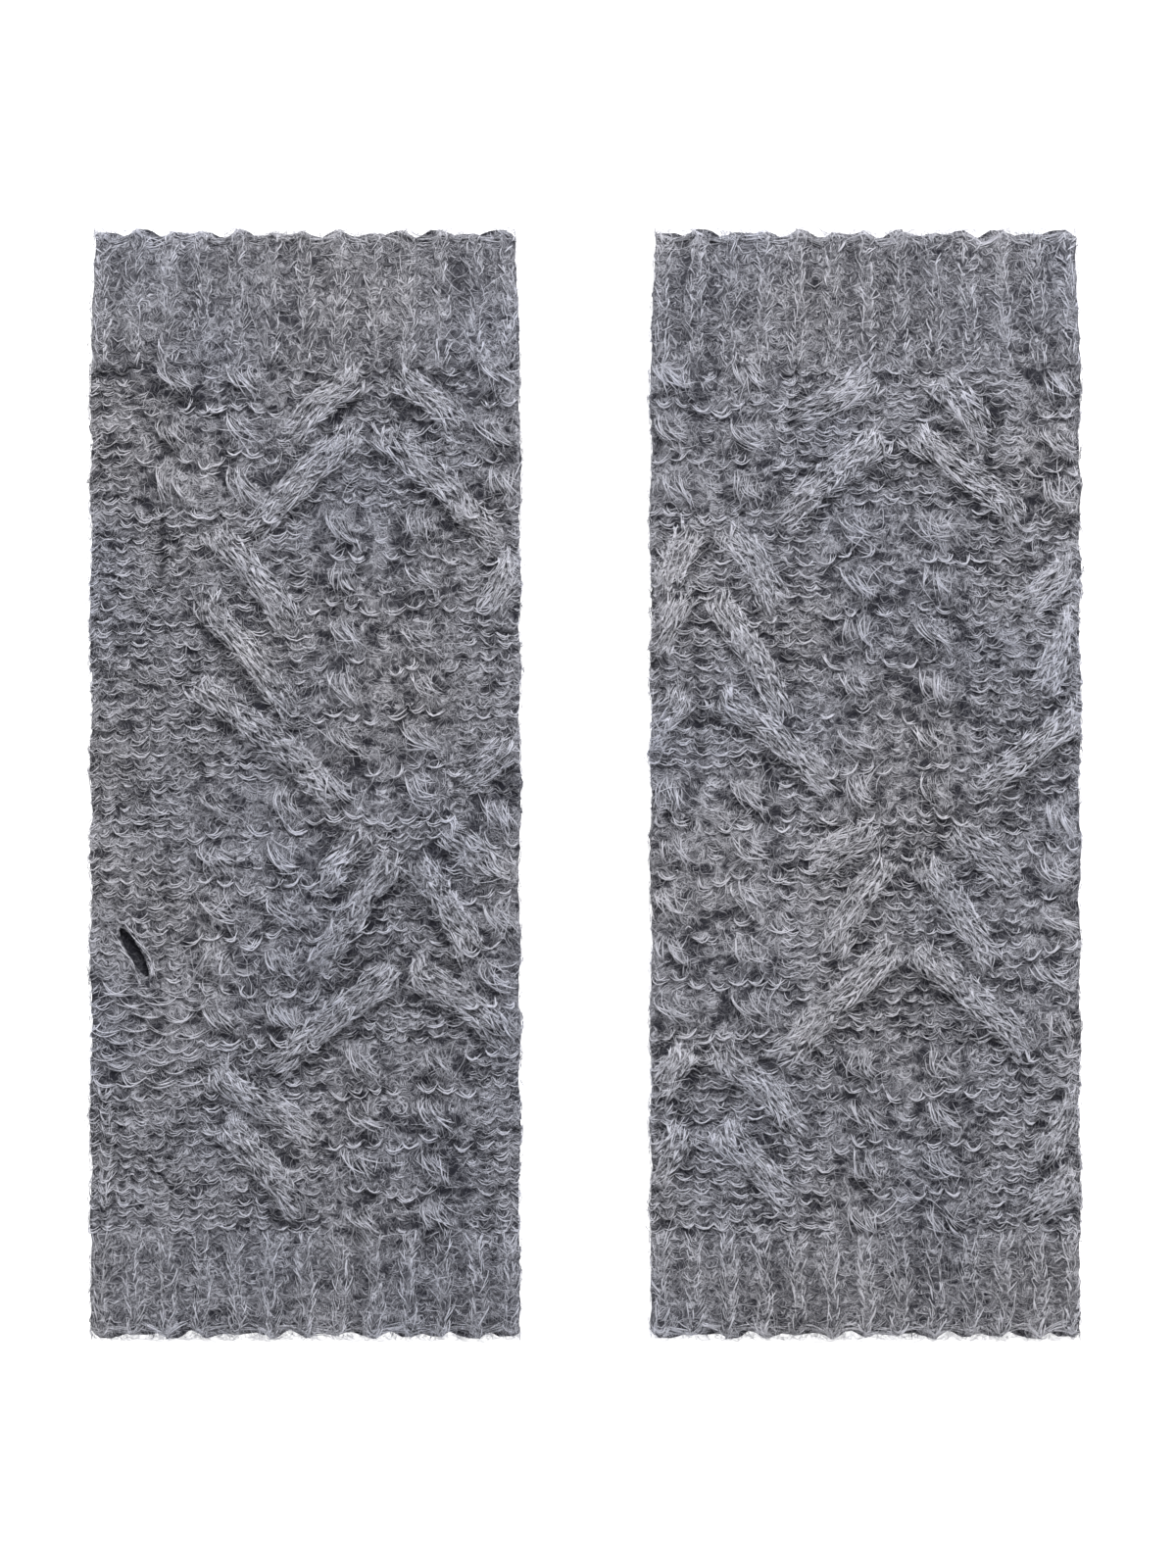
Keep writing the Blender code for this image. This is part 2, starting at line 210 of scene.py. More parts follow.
# Painted shade in the gaps between stitches: the edges of its mask, and how much of it the cuffs
# keep
GAP_SHADE_EDGES = (0.36, 0.5)
CUFF_GAP_SHADE = 0.25
BUMP_DISTANCE = 0.0004
WARM_SCALE = 22.0
TINTS = ((0.35, (0.97, 0.98, 1.02)), (0.65, (1.02, 1.0, 0.985)))
GREY_CAST = (0.985, 0.995, 1.075)
SHADOW_CAST = (0.0, 0.0, 0.0075)

# A finish has the brightness of its dark, middle and light tone, and how strong the painted shade
# in its stitch gaps is
Finish = namedtuple("Finish", "name greys hairs pits sheen bump")

BACKING = Finish("mohair_backing", (0.02, 0.15, 0.6), 0.9, 0.4, 0.0, 0.4)
YARN = Finish("mohair_yarn", (0.03, 0.24, 0.85), 0.5, 0.32, 0.12, 0.4)
FIBRE = Finish("mohair_fibres", (0.14, 0.42, 0.95), 0.0, 0.25, 0.15, 0.0)

# The studio, with the height of the table that the photo shows
PHOTO_HEIGHT = 0.352
LENS = 100.0
SENSOR = 36.0
CAMERA_SIDE_SHIFT = 0.0005
FLOOR_SIZE = 6.0
FLOOR_GLOW = 0.9
FLOOR_CLEAR = 0.0002
LAMP_SIZE = 0.7
LAMP_WATTS = 17.0
LAMP_PLACE = (0.1, 0.95, 1.1)
WORLD_STRENGTH = 0.42

# The cables
LEG_HALF_WIDTH = 0.0042
LEG_FULLNESS = 0.7
LEG_RISE = 0.0035
LEG_FADE = 0.0085
LEG_BOW = 0.0010
CELL_PITCH = 0.0117
CELL_HALF_LENGTH = 0.0062
CELL_HALF_WIDTH = 0.0039
CELL_LEAN = math.radians(40)
CELL_RELIEF = 0.0019
LEG_OVERRUN = 0.004
LEG_SHOWS = 0.0004
LEG_TIE = 0.0003
CREST_TURN = 0.009
CREST_START = 0.35
CHAIN_PITCH = 0.0028
CHAIN_WIDTH = 0.00275
CHAIN_START = 0.3
CHAIN_STAGGER = 0.2
BAR_STITCH = 0.0042
BAR_DROP = 0.0056
BAR_SAG = 0.0012
BAR_RISE = 0.0007
CELL_REACH = 0.0084
LADDER_ROWS = (1.3, 0.3, -0.7)
SIDE_CLEAR = 0.001
CELL_SLIP = 0.0005
CELL_SWING = 0.24
GARLAND_SHARE = 0.8

# The bundles of yarn on a small crossing: lean in degrees, half length and place in mm
Bundle = namedtuple("Bundle", "lean half_length x y yarn sink lighter")

BUNDLES = (
    Bundle(38, 3.2, 0.4, 0.4, MOUND_YARN, -0.0004, 0.16),
    Bundle(24, 3.6, -2.8, 0.6, FLANK_YARN, -0.0004, 0.26),
    Bundle(50, 3.2, 1.4, -1.0, FLANK_YARN, -0.0004, 0.22),
    Bundle(-38, 2.8, 2.4, 3.4, UNDER_YARN, 0.0004, 0.0),
    Bundle(-50, 2.6, -2.0, -3.2, UNDER_YARN, 0.0003, 0.04),
    Bundle(8, 2.4, 2.6, -3.0, UNDER_YARN, 0.0002, 0.06),
)
EDGE_KNOBS = ((0.5, 0.0008), (0.05, 0.0012))
EDGE_KNOB_SHIFT = 0.0005
EDGE_KNOB_SLIP = 0.0009
EDGE_KNOB_LEAN = 0.2
SLIT_MARGIN = 0.0014
SLIT_CLEAR = -0.0003
SLIT_FIBRE_MARGIN = -0.0006
SLIT_STITCHES = 8
RIM_INSET = 0.0006

Zone = namedtuple("Zone", "left right low high")

STRETCH = Zone(-0.0465, -0.0245, -0.0680, -0.0445)
STRETCH_STITCH = 0.0066
STRETCH_ROW = 0.0029
STRETCH_SLIP = 0.0004
SEAM_X = -0.0444
SEAM_TOP = -0.0695
SEAM_FOOT = -0.0935
SEAM_END_X = SEAM_X + 0.0042

# A row for each pair of legs, in millimetres: the crest's x and y, half the gap between the legs,
# the reach and drop of the left leg and of the right one, and the relief. A leg that isn't there
# has a reach of 0.
CABLES = {
    "left": (
        (16.7, 91.0, 3.6, 15.4, 12.3, 13.9, 11.4, 2.3),
        (14.5, 78.1, 2.9, 22.0, 21.1, 25.1, 24.4, 2.8),
        (22.2, -10.8, 8.1, 9.0, 11.2, 9.7, 8.1, 1.7),
        (22.2, -17.2, 2.4, 15.6, 22.9, 12.1, 19.6, 2.8),
        (22.2, -41.6, 1.0, 26.8, 21.1, 21.8, 15.2, 2.8),
        (-22.9, 56.1, 2.6, 0, 0, 16.3, 19.6, 2.6),
        (-25.3, 40.5, 2.6, 0, 0, 18.7, 23.5, 2.8),
        (-25.9, 21.8, 2.6, 0, 0, 29.3, 24.4, 2.8),
        (-22.8, -64.5, 2.6, 0, 0, 21.3, 14.5, 2.4),
        (-21.1, -75.9, 2.6, 0, 0, 16.3, 17.8, 2.6),
        (50.0, 49.5, 2.7, 4.8, 9.9, 0, 0, 2.2),
        (50.6, 8.4, 2.6, 11.4, 7.5, 0, 0, 2.4),
    ),
    "right": (
        (9.2, 89.8, 6.5, 16.3, 8.1, 10.6, 12.6, 2.3),
        (7.6, 77.2, 3.3, 22.0, 18.0, 22.7, 18.0, 2.8),
        (10.9, -10.3, 8.1, 15.0, 9.0, 13.0, 11.2, 1.7),
        (8.8, -17.2, 3.6, 12.3, 19.6, 14.7, 22.9, 2.8),
        (8.8, -37.4, 2.1, 25.3, 24.4, 24.4, 21.3, 2.8),
        (-34.9, 56.7, 3.3, 6.6, 14.1, 11.4, 16.3, 2.2),
        (-37.0, 42.2, 3.0, 6.0, 12.1, 15.4, 27.5, 2.6),
        (-36.5, 19.6, 3.4, 7.7, 9.9, 24.4, 19.6, 2.8),
        (-36.5, -59.6, 3.4, 6.6, 12.1, 17.8, 17.8, 2.6),
        (-36.5, -77.4, 3.4, 6.6, 9.9, 14.5, 14.5, 2.4),
        (49.2, 48.0, 2.7, 9.7, 8.1, 0, 0, 2.2),
        (50.2, 36.5, 2.7, 7.3, 14.7, 0, 0, 1.8),
        (51.0, 15.4, 2.7, 21.1, 16.3, 0, 0, 2.8),
        (50.8, -70.8, 2.7, 7.9, 13.0, 0, 0, 2.4),
        (50.8, -85.8, 2.7, 11.0, 11.0, 0, 0, 2.4),
    ),
}

# A row for each set of columns of small crossings: the places of the columns across and the
# height of their top in millimetres, and how many crossings one column has
CROSSINGS = {
    "left": (
        ((9.2, 26.0), 56.5, 6),
        ((13.2, 29.5), -62.5, 4),
        ((-28.6, -13.6), 90.0, 3),
        ((-19.1, -4.6), -5.0, 5),
        ((43.5,), 90.0, 3),
        ((43.5,), -7.0, 5),
    ),
    "right": (
        ((-1.4, 15.7), 56.5, 6),
        ((0.1, 17.3), -62.5, 4),
        ((-43.0, -26.0), 90.0, 3),
        ((-43.0, -26.0), -3.0, 5),
        ((43.0,), 88.0, 3),
        ((43.0,), -8.0, 5),
    ),
}

# The fine map that the relief of a front is read from, and the reach in steps of the hollows and
# crests that get painted shade and painted light
MAP_STEP = 0.0004
MAP_MARGIN = 0.002
MAP_X = np.arange(-MITT_WIDTH / 2 - MAP_MARGIN, MITT_WIDTH / 2 + MAP_MARGIN, MAP_STEP)
MAP_Y = np.arange(HAND_END - MAP_MARGIN, ARM_END + MAP_MARGIN, MAP_STEP)
HOLLOW_REACH = 7

# Painted shade of an upright crease in the front of the left mitt: a dark line in the tone, with no
# crease in the shape
CreaseShade = namedtuple("CreaseShade", "x low high half_width depth fade")

CREASE_SHADE = CreaseShade(-0.0317, 0.0440, 0.0616, 0.0008, 0.0026, 0.003)

# The thumb slit, on the front of the left mitt and mirrored on the palm of the right one
SLIT_START = Vector((-0.0412, -0.0321))
SLIT_END = Vector((-0.0350, -0.0431))
SLIT_WIDTH = 0.0030
SLIT_SIDES = 16
CUT_TOP = 0.015
CUT_FOOT = -0.005


def ease(value):
    """A soft step from 0 to 1."""
    share = np.clip(value, 0.0, 1.0)
    return share * share * (3.0 - 2.0 * share)


def swell(shape, y, start, sway_start):
    sway = shape.sway * np.sin(y * shape.sway_turns + sway_start)
    return shape.depth * np.sin(2 * math.pi * y / shape.length + start + sway)


def side_x(mitt, side, y):
    """The side edge of a laid mitt, with side -1 on its left and +1 on its right."""
    turn = WAVE_START[mitt] + WAVE_SIDE_SHIFT * side
    past_body = np.maximum(y - BODY_TOP, BODY_BOTTOM - y) / SIDE_WAVE.length
    calm = 1.0 - (1.0 - CUFF_WAVE_SHARE) * ease(past_body + 0.5)
    wave = calm * swell(SIDE_WAVE, y, turn, -turn) + swell(SIDE_BUMP, y, 0.0, turn)
    cuff = CUFF_NARROWING * ease((y - BODY_TOP) / (ARM_END - BODY_TOP))
    return side * (MITT_WIDTH / 2 - cuff + wave)


Leg = namedtuple("Leg", "start end relief side")


def legs_of(mitt):
    """Every leg of the large cables, with its two ends in the mitt's own frame."""
    for crest_x, crest_y, gap, *reaches_and_drops, relief in CABLES[mitt]:
        crest = Vector((crest_x, crest_y)) * MILLIMETRE
        for side, (reach, drop) in zip((-1, 1), (reaches_and_drops[:2], reaches_and_drops[2:])):
            if reach:
                start = crest + Vector((side * gap, 0.0)) * MILLIMETRE
                end = start + Vector((side * reach, -drop)) * MILLIMETRE
                yield Leg(start, end, relief * MILLIMETRE, side)


def cells_of(mitt):
    """The middles of all the small crossings."""
    for places_x, top_y, cells in CROSSINGS[mitt]:
        for x in places_x:
            for cell in range(cells):
                yield x * MILLIMETRE, top_y * MILLIMETRE - cell * CELL_PITCH


def beside_line(start, end, x, y):
    """How far along a line and to its right a point lies, and the line's length."""
    length = (end - start).length
    along = (end - start) / length
    return ((x - start.x) * along.x + (y - start.y) * along.y,
            (x - start.x) * along.y - (y - start.y) * along.x, length)


def along_line(start, end, distance, offset):
    """The place that lies a distance along a line and an offset to its right."""
    along = (end - start) / (end - start).length
    return (start.x + along.x * distance + along.y * offset,
            start.y + along.y * distance - along.x * offset)


def leg_bow(leg, share):
    """How far a leg bows to its side at a share of its length."""
    return 4.0 * LEG_BOW * share * (1.0 - share) * leg.side


def leg_height(x, y, leg):
    distance, offset, length = beside_line(leg.start, leg.end, x, y)
    offset = offset + leg_bow(leg, np.clip(distance / length, 0.0, 1.0))
    profile = np.clip(1.0 - (offset / LEG_HALF_WIDTH) ** 2, 0.0, 1.0) ** LEG_FULLNESS
    rise = ease(distance / LEG_RISE + 0.5)
    fade = ease((length - distance) / LEG_FADE + 0.5)
    return leg.relief * profile * rise * fade


def crossing_height(x, y, centre_x, centre_y):
    dx = x - centre_x
    dy = y - centre_y
    along = (dx * math.cos(CELL_LEAN) - dy * math.sin(CELL_LEAN)) / CELL_HALF_LENGTH
    offset = (dx * math.sin(CELL_LEAN) + dy * math.cos(CELL_LEAN)) / CELL_HALF_WIDTH
    return CELL_RELIEF * np.clip(1.0 - along ** 2 - offset ** 2, 0.0, 1.0) ** LEG_FULLNESS


Relief = namedtuple("Relief", "height hollow")


def relief_of(mitt):
    """The height of every cable and crossing over the ground of the front, as a map, and how
    far each spot stands over what lies round it, which sets the painted light and painted shade;
    on the left mitt it also holds the painted shade of a crease."""
    x, y = np.meshgrid(MAP_X, MAP_Y)
    height = np.zeros_like(x)
    for leg in legs_of(mitt):
        height = np.maximum(height, leg_height(x, y, leg))
    for centre_x, centre_y in cells_of(mitt):
        height = np.maximum(height, crossing_height(x, y, centre_x, centre_y))
    height = np.where(in_body(y), height, 0.0)
    hollow = height - evened(height)
    # Painted shade of the crease: a dark line taken off the relief that sets the painted shade
    if mitt == "left":
        beside = np.clip(1.0 - np.abs(x - CREASE_SHADE.x) / CREASE_SHADE.half_width, 0.0, 1.0)
        beside = beside * ease((y - CREASE_SHADE.low) / CREASE_SHADE.fade)
        beside = beside * ease((CREASE_SHADE.high - y) / CREASE_SHADE.fade)
        hollow = hollow - CREASE_SHADE.depth * beside
    return Relief(height, hollow)


def evened(table):
    """A map with each spot replaced by the mean round it."""
    steps = range(-HOLLOW_REACH, HOLLOW_REACH + 1)
    for axis in (0, 1):
        table = np.mean([np.roll(table, step, axis) for step in steps], axis=0)
    return table


def read_map(table, x, y):
    """A map read between its lines."""
    column, row = (np.clip((value - lines[0]) / MAP_STEP, 0.0, len(lines) - 1.01)
                   for value, lines in ((x, MAP_X), (y, MAP_Y)))
    left, low = column.astype(int), row.astype(int)
    over, up = column - left, row - low
    lower, upper = (table[line, left] * (1.0 - over) + table[line, left + 1] * over
                    for line in (low, low + 1))
    return lower * (1.0 - up) + upper * up


def section_table():
    """The outline of a laid tube: the way round it, the share of the width, the height, how much
    of the relief it has, and how flat it lies.

    It starts in the middle of the left fold and runs over the front to the right.
    """
    half = MITT_WIDTH / 2
    turns = np.linspace(0.0, math.pi / 2, FOLD_STEPS)
    out = FOLD_RADIUS * (1.0 - np.cos(turns))
    front_x = np.concatenate([-half + out, (half - out)[::-1]])
    front_rise = np.sin(np.concatenate([turns, turns[::-1]]))
    front_z = FRONT_FLOOR + FOLD_RIM + (FRONT_TOP - FRONT_FLOOR - FOLD_RIM) * front_rise
    back_z = (PALM_THICKNESS - FOLD_RIM) * (1.0 - front_rise)

    def once_round(left_fold, front, right_fold, back):
        return np.concatenate([[left_fold], front, [right_fold], back, [left_fold]])

    x = once_round(-half, front_x, half, front_x[::-1])
    z = once_round(MIDDLE_Z, front_z, MIDDLE_Z, back_z)
    way = np.concatenate([[0.0], np.cumsum(np.hypot(np.diff(x), np.diff(z)))])
    weight = once_round(0.0, ease(front_rise), 0.0, 0.0 * front_rise)
    flat = once_round(0.0, ease(front_rise), 0.0, ease(front_rise))
    return way, x / MITT_WIDTH + 0.5, z, weight, flat


WAY, WAY_X, WAY_Z, WAY_RELIEF, WAY_FLAT = section_table()
ROUND = WAY[-1]
TOP_SLICE = slice(0, len(WAY) // 2 + 1)


def way_at(mitt, x, y):
    """How far round the tube a point of the front lies."""
    left = side_x(mitt, -1, y)
    share = (x - left) / (side_x(mitt, 1, y) - left)
    return np.interp(share, WAY_X[TOP_SLICE], WAY[TOP_SLICE])


def read_round(table, way):
    """A value from the table of the tube's outline, at a way round it."""
    return np.interp(np.mod(way, ROUND), WAY, table)


def rib_share(way):
    """The ribs' profile, 1 on each knit column and 0 between them."""
    return 0.5 - 0.5 * np.cos(2 * math.pi * RIBS_ROUND * way / ROUND)


def in_body(y):
    return (y > BODY_BOTTOM) & (y < BODY_TOP)


def in_cuffs(y):
    """0 over the body and 1 over the cuffs."""
    return ease(np.maximum(y - BODY_TOP, BODY_BOTTOM - y) / CUFF_BLEND + 0.5)


def edge_y(way, end_y):
    """The free edge of a cuff, which bulges at each knit stitch, more at some than at others."""
    wander = EDGE_WANDER * (1.0 + np.sin(way * EDGE_WANDER_TURNS + end_y * EDGE_WANDER_SHIFT))
    dip = SCALLOP_DEPTH * (1.0 - rib_share(way))
    return end_y - math.copysign(1.0, end_y) * (dip + wander)


def settle(way, y):
    """Draws the rows of a cuff in, so that its last one follows the scalloped edge."""
    for start, end in ((BODY_TOP, ARM_END), (BODY_BOTTOM, HAND_END)):
        drawn = start + (y - start) * (edge_y(way, end) - start) / (end - start)
        y = np.where((y - start) * end > 0.0, drawn, y)
    return y


def end_share(way, y):
    """How much of the tube's height is left as it rounds over at a free edge."""
    inside = np.minimum(edge_y(way, ARM_END) - y, y - edge_y(way, HAND_END))
    near = np.clip(1.0 - inside / END_RADIUS, 0.0, 1.0)
    return np.sqrt(1.0 - near * near)


RELIEF = {mitt: relief_of(mitt) for mitt in MITTS}


def skin_x(mitt, way, y):
    left = side_x(mitt, -1, y)
    return left + (side_x(mitt, 1, y) - left) * read_round(WAY_X, way)


def painted_shade_and_cuff_tone(mitt, way, y):
    """Painted light on the crests, painted shade in the hollows and rib dips, and the cuffs' own
    darker tone.
    """
    stands = read_map(RELIEF[mitt].hollow, skin_x(mitt, way, y), y) / MILLIMETRE
    cuffs = in_cuffs(y)
    body = PAINTED_RELIEF_LIGHT_AND_SHADE * np.minimum(stands, PAINTED_CREST_LIGHT_CAP) * read_round(WAY_RELIEF, way)
    return body * (1.0 - cuffs) + (CUFF_TONE + RIB_SHADE * (rib_share(way) - 0.5)) * cuffs


def skin(mitt, way, y):
    """Points of the outer surface, a way round the tube and along it, in the part's frame."""
    x = skin_x(mitt, way, y)
    cuffs = in_cuffs(y)
    relief = read_map(RELIEF[mitt].height, x, y) * (1.0 - cuffs)
    relief = relief + RIB_RELIEF * rib_share(way) * cuffs
    z = read_round(WAY_Z, way) + relief * read_round(WAY_RELIEF, way)
    z = MIDDLE_Z + (z - MIDDLE_Z) * end_share(np.mod(way, ROUND), y)
    return np.stack([x + MIDDLE_X[mitt], y, z], axis=-1)


def outward(mitt, way, y):
    """The way out of the tube at points of its surface, across the tube."""
    step = 0.0005
    along = skin(mitt, way + step, y) - skin(mitt, way - step, y)
    out = np.stack([-along[..., 2], np.zeros_like(along[..., 0]), along[..., 0]], axis=-1)
    return unit(out)


def under_skin(mitt, way, y, depth):
    """Points at a depth under the surface, or above it where the depth is negative."""
    way, y, depth = np.broadcast_arrays(way, y, depth)
    return skin(mitt, way, y) - outward(mitt, way, y) * depth[..., None]


def unit(vectors):
    return vectors / np.maximum(np.linalg.norm(vectors, axis=-1, keepdims=True), 1e-12)


Strands = namedtuple("Strands", "points quads triangles tones")


def spindles(paths, girths, sides, tones, hint, core=0.0):
    """Closed strands along the paths given, each with a point at both ends.

    paths is strands by points by 3, girths is strands by inner points, tones is strands by
    points, and hint is the way out of the cloth for each strand. The last argument is a painted
    highlight: how much lighter a strand is painted along its outer side.
    """
    count, long = paths.shape[:2]
    rings = long - 2
    along = unit(paths[:, 2:] - paths[:, :-2])
    across = unit(np.cross(along, hint[:, None]))
    other = np.cross(across, along)
    turn = np.arange(sides) * 2 * math.pi / sides
    round_it = (across[:, :, None] * np.sin(turn)[:, None]
                + other[:, :, None] * np.cos(turn)[:, None])
    ring = paths[:, 1:-1, None] + round_it * girths[:, :, None, None]
    points = np.concatenate([ring.reshape(count, rings * sides, 3), paths[:, [0, -1]]], axis=1)
    # Painted highlight along each strand's outer side
    shine = core * np.clip(np.cos(turn), 0.0, 1.0) ** 2
    around = (tones[:, 1:-1, None] + shine).reshape(count, rings * sides)
    shade = np.concatenate([around, tones[:, [0, -1]]], axis=1)
    here = np.arange(sides)
    there = np.roll(here, -1)
    bands = [[r * sides + here, r * sides + there, (r + 1) * sides + there, (r + 1) * sides + here]
             for r in range(rings - 1)]
    quads = np.concatenate([np.stack(band, axis=-1) for band in bands] or [np.zeros((0, 4), int)])
    first = np.stack([there, here, np.full(sides, rings * sides)], axis=-1)
    last = np.stack([here, there, np.full(sides, rings * sides + 1)], axis=-1)
    last[:, :2] += (rings - 1) * sides
    fans = np.concatenate([first, last])
    shift = np.arange(count)[:, None, None] * (rings * sides + 2)
    return Strands(points.reshape(-1, 3), (quads + shift).reshape(-1, 4),
                   (fans + shift).reshape(-1, 3), shade.ravel())


def joined(parts):
    """Several sets of strands as one."""
    shifts = np.cumsum([0] + [len(part.points) for part in parts[:-1]])
    moved = [part._replace(quads=part.quads + shift, triangles=part.triangles + shift)
             for part, shift in zip(parts, shifts)]
    return Strands(*(np.concatenate(column) for column in zip(*moved)))


def set_in_scene(name, data, location):
    thing = bpy.data.objects.new(name, data)
    thing.location = location
    bpy.context.scene.collection.objects.link(thing)
    return thing


def mesh_piece(name, strands, material):
    """A mesh object with a tone for each point, from 0, dark, to 1, light."""
    mesh = bpy.data.meshes.new(name)
    mesh.from_pydata(strands.points, [], strands.quads.tolist() + strands.triangles.tolist())
    tone = mesh.attributes.new("tone", "FLOAT", "POINT")
    tone.data.foreach_set("value", np.ascontiguousarray(strands.tones, np.float32))
    mesh.shade_smooth()
    mesh.materials.append(material)
    return set_in_scene(name, mesh, (0.0, 0.0, 0.0))


# One loop of yarn: across in widths of a stitch, along in rows, depth in mm under the surface,
# the share of the yarn's full girth, and how much lighter it is: painted shade where it dives
# deep at its ends and painted light where it lies highest
LoopPoint = namedtuple("LoopPoint", "across along depth girth tone")


def loop_of(*rows):
    return tuple(LoopPoint(*row) for row in rows)


def mirrored(loop):
    return tuple(point._replace(across=-point.across) for point in loop)


def arch(*rows):
    """A loop that is the same on both sides of its middle, which is the last row."""
    half = loop_of(*rows)
    return half + mirrored(half[-2::-1])


SMILE = arch((-0.56, 0.42, 2.0, 0.0, -0.15), (-0.30, -0.02, 0.75, 0.9, -0.03),
             (0.0, -0.24, 0.55, 1.0, 0.05))
FROWN = arch((-0.54, -0.36, 2.0, 0.0, -0.15), (-0.28, 0.06, 0.85, 0.85, -0.05),
             (0.0, 0.28, 0.7, 0.95, 0.0))
KNOB = arch((-0.62, -0.25, 1.6, 0.0, -0.1), (-0.36, 0.0, 1.0, 0.8, 0.0),
            (0.0, 0.12, 0.9, 1.0, 0.1))
ARM = loop_of((0.04, -0.85, 1.9, 0.0, -0.2), (-0.10, -0.38, 0.75, 0.88, -0.04),
              (-0.24, 0.10, 0.6, 1.0, 0.05), (-0.36, 0.56, 0.85, 0.85, -0.04),
              (-0.32, 1.05, 2.0, 0.0, -0.2))
RIB_ARM = loop_of((-0.14, -0.80, 1.9, 0.0, -0.15), (-0.22, -0.36, 0.75, 0.88, -0.02),
                  (-0.30, 0.08, 0.6, 1.0, 0.06), (-0.38, 0.50, 0.85, 0.85, -0.02),
                  (-0.36, 0.95, 2.0, 0.0, -0.15))
SWEEP = loop_of((0.16, 1.0, 1.8, 0.0, -0.15), (0.0, 0.55, 0.6, 0.85, 0.0),
                (-0.06, 0.0, 0.35, 1.0, 0.08), (0.0, -0.55, 0.6, 0.85, 0.0),
                (0.16, -1.0, 1.8, 0.0, -0.15))

# A kind of stitch, with how deep it lies under the surface and how much lighter it is
Knit = namedtuple("Knit", "loop width height yarn sink lighter")

PURL = Knit(SMILE, 1.15 * STITCH, ROW, GROUND_YARN, -0.0003, 0.13)
PALM_PURL = PURL._replace(yarn=PALM_YARN)
PURL_TOP = Knit(FROWN, 1.15 * STITCH, ROW, HIDDEN_YARN, -0.0003, -0.12)
LEG_KNIT = Knit(ARM, CHAIN_WIDTH, CHAIN_PITCH, LEG_YARN, 0.0, -0.05)
LADDER = Knit(SMILE, BAR_STITCH, ROW, GROUND_YARN, 0.0003, 0.0)
GARLAND = Knit(SMILE, BAR_STITCH, ROW, GARLAND_YARN, -0.0007, 0.38)
GARLAND_TOP = Knit(FROWN, BAR_STITCH / 2, ROW, HIDDEN_YARN, -0.0007, 0.0)
WIDE_PURL = Knit(SMILE, STRETCH_STITCH, ROW, WIDE_YARN, -0.0006, 0.26)
WIDE_TOP = Knit(FROWN, STRETCH_STITCH / 2, ROW, HIDDEN_YARN, 0.0, 0.0)
SEAM_KNIT = Knit(ARM, STITCH, ROW, LEG_YARN, -0.0003, 0.0)
SEAM_PURL = Knit(SMILE, 0.0042, 0.0042, WIDE_YARN, -0.0003, 0.38)
RIB_KNIT = Knit(RIB_ARM, 0.0050, ROW, RIB_YARN, 0.0, 0.03)
RIB_PURL = Knit(SMILE, 0.0030, ROW, DIP_YARN, 0.0, -0.08)
EDGE_BEAD = Knit(KNOB, 0.0046, ROW, EDGE_YARN, 0.0, 0.16)
SLIT_RIM = Knit(SWEEP, 0.0008, 0.0026, WIDE_YARN, 0.0003, 0.06)

Stitches = namedtuple("Stitches", "way y turn")


def knit_loops(mitt, stitches, knit, dice):
    """A loop of yarn at each stitch, its plies laid on the surface of the mitt."""
    count = len(stitches.way)
    lit = dice.normal(YARN_TONE[mitt] + knit.lighter, STITCH_MARL, (count, 1))
    lit += LIT_STITCH * (dice.random((count, 1)) < LIT_SHARE)
    return joined([one_ply(mitt, stitches, knit, lit, dice) for ply in range(knit.yarn.plies)])


def both_arms(mitt, stitches, knit, dice):
    """The two mirrored arms of each knit stitch."""
    return [knit_loops(mitt, stitches, knit._replace(loop=loop), dice)
            for loop in (knit.loop, mirrored(knit.loop))]


def one_ply(mitt, stitches, knit, lit, dice):
    """One ply of each loop, every one a little different by chance."""
    def chance(spread):
        return spread * dice.standard_normal((len(stitches.way), 1))

    yarn = knit.yarn
    table = flowing(np.array(knit.loop), yarn.points)
    across = table[:, 0] * knit.width * (1.0 + chance(LOOP_UNEVEN))
    along = table[:, 1] * knit.height * (1.0 + chance(LOOP_UNEVEN))
    step_x, step_y = np.gradient(across, axis=1), np.gradient(along, axis=1)
    stride = np.hypot(step_x, step_y) + 1e-9
    aside = chance(yarn.spread)
    aside = aside * (1.0 + chance(PLY_SPLAY) * np.linspace(-1.0, 1.0, yarn.points))
    slide = chance(PLY_SLIDE * yarn.spread)
    across, along = (across + (slide * step_x - aside * step_y) / stride,
                     along + (slide * step_y + aside * step_x) / stride)
    turn = stitches.turn[:, None] + chance(LOOP_SWING)
    way = stitches.way[:, None] + across * np.cos(turn) - along * np.sin(turn)
    y = stitches.y[:, None] + across * np.sin(turn) + along * np.cos(turn)
    y = y + chance(ROW_SLIP)
    way, y = drift(way, y)
    clear = EDGE_YARN_CLEAR if yarn is EDGE_YARN else EDGE_CLEAR
    y = np.clip(y, HAND_END + clear, ARM_END - clear)
    slip = chance(LOOP_SLIP)
    flat = FOLD_LOOP_DEPTH + (1.0 - FOLD_LOOP_DEPTH) * read_round(WAY_FLAT, way)
    depth = (table[:, 2] * MILLIMETRE + knit.sink) * flat + slip
    paths = under_skin(mitt, way, settle(way, y), depth)
    paths[..., 2] = np.maximum(paths[..., 2], yarn.radius)
    girths = table[1:-1, 3] * yarn.radius * (1.0 + chance(LOOP_UNEVEN))
    tones = lit + chance(PLY_MARL) + table[:, 4] + painted_shade_and_cuff_tone(mitt, way, y)
    hint = outward(mitt, stitches.way, stitches.y)
    kept = ~in_slit(mitt, way, y, SLIT_CLEAR).any(axis=1)
    return spindles(paths[kept], girths[kept], yarn.sides, tones[kept], hint[kept], yarn.core)


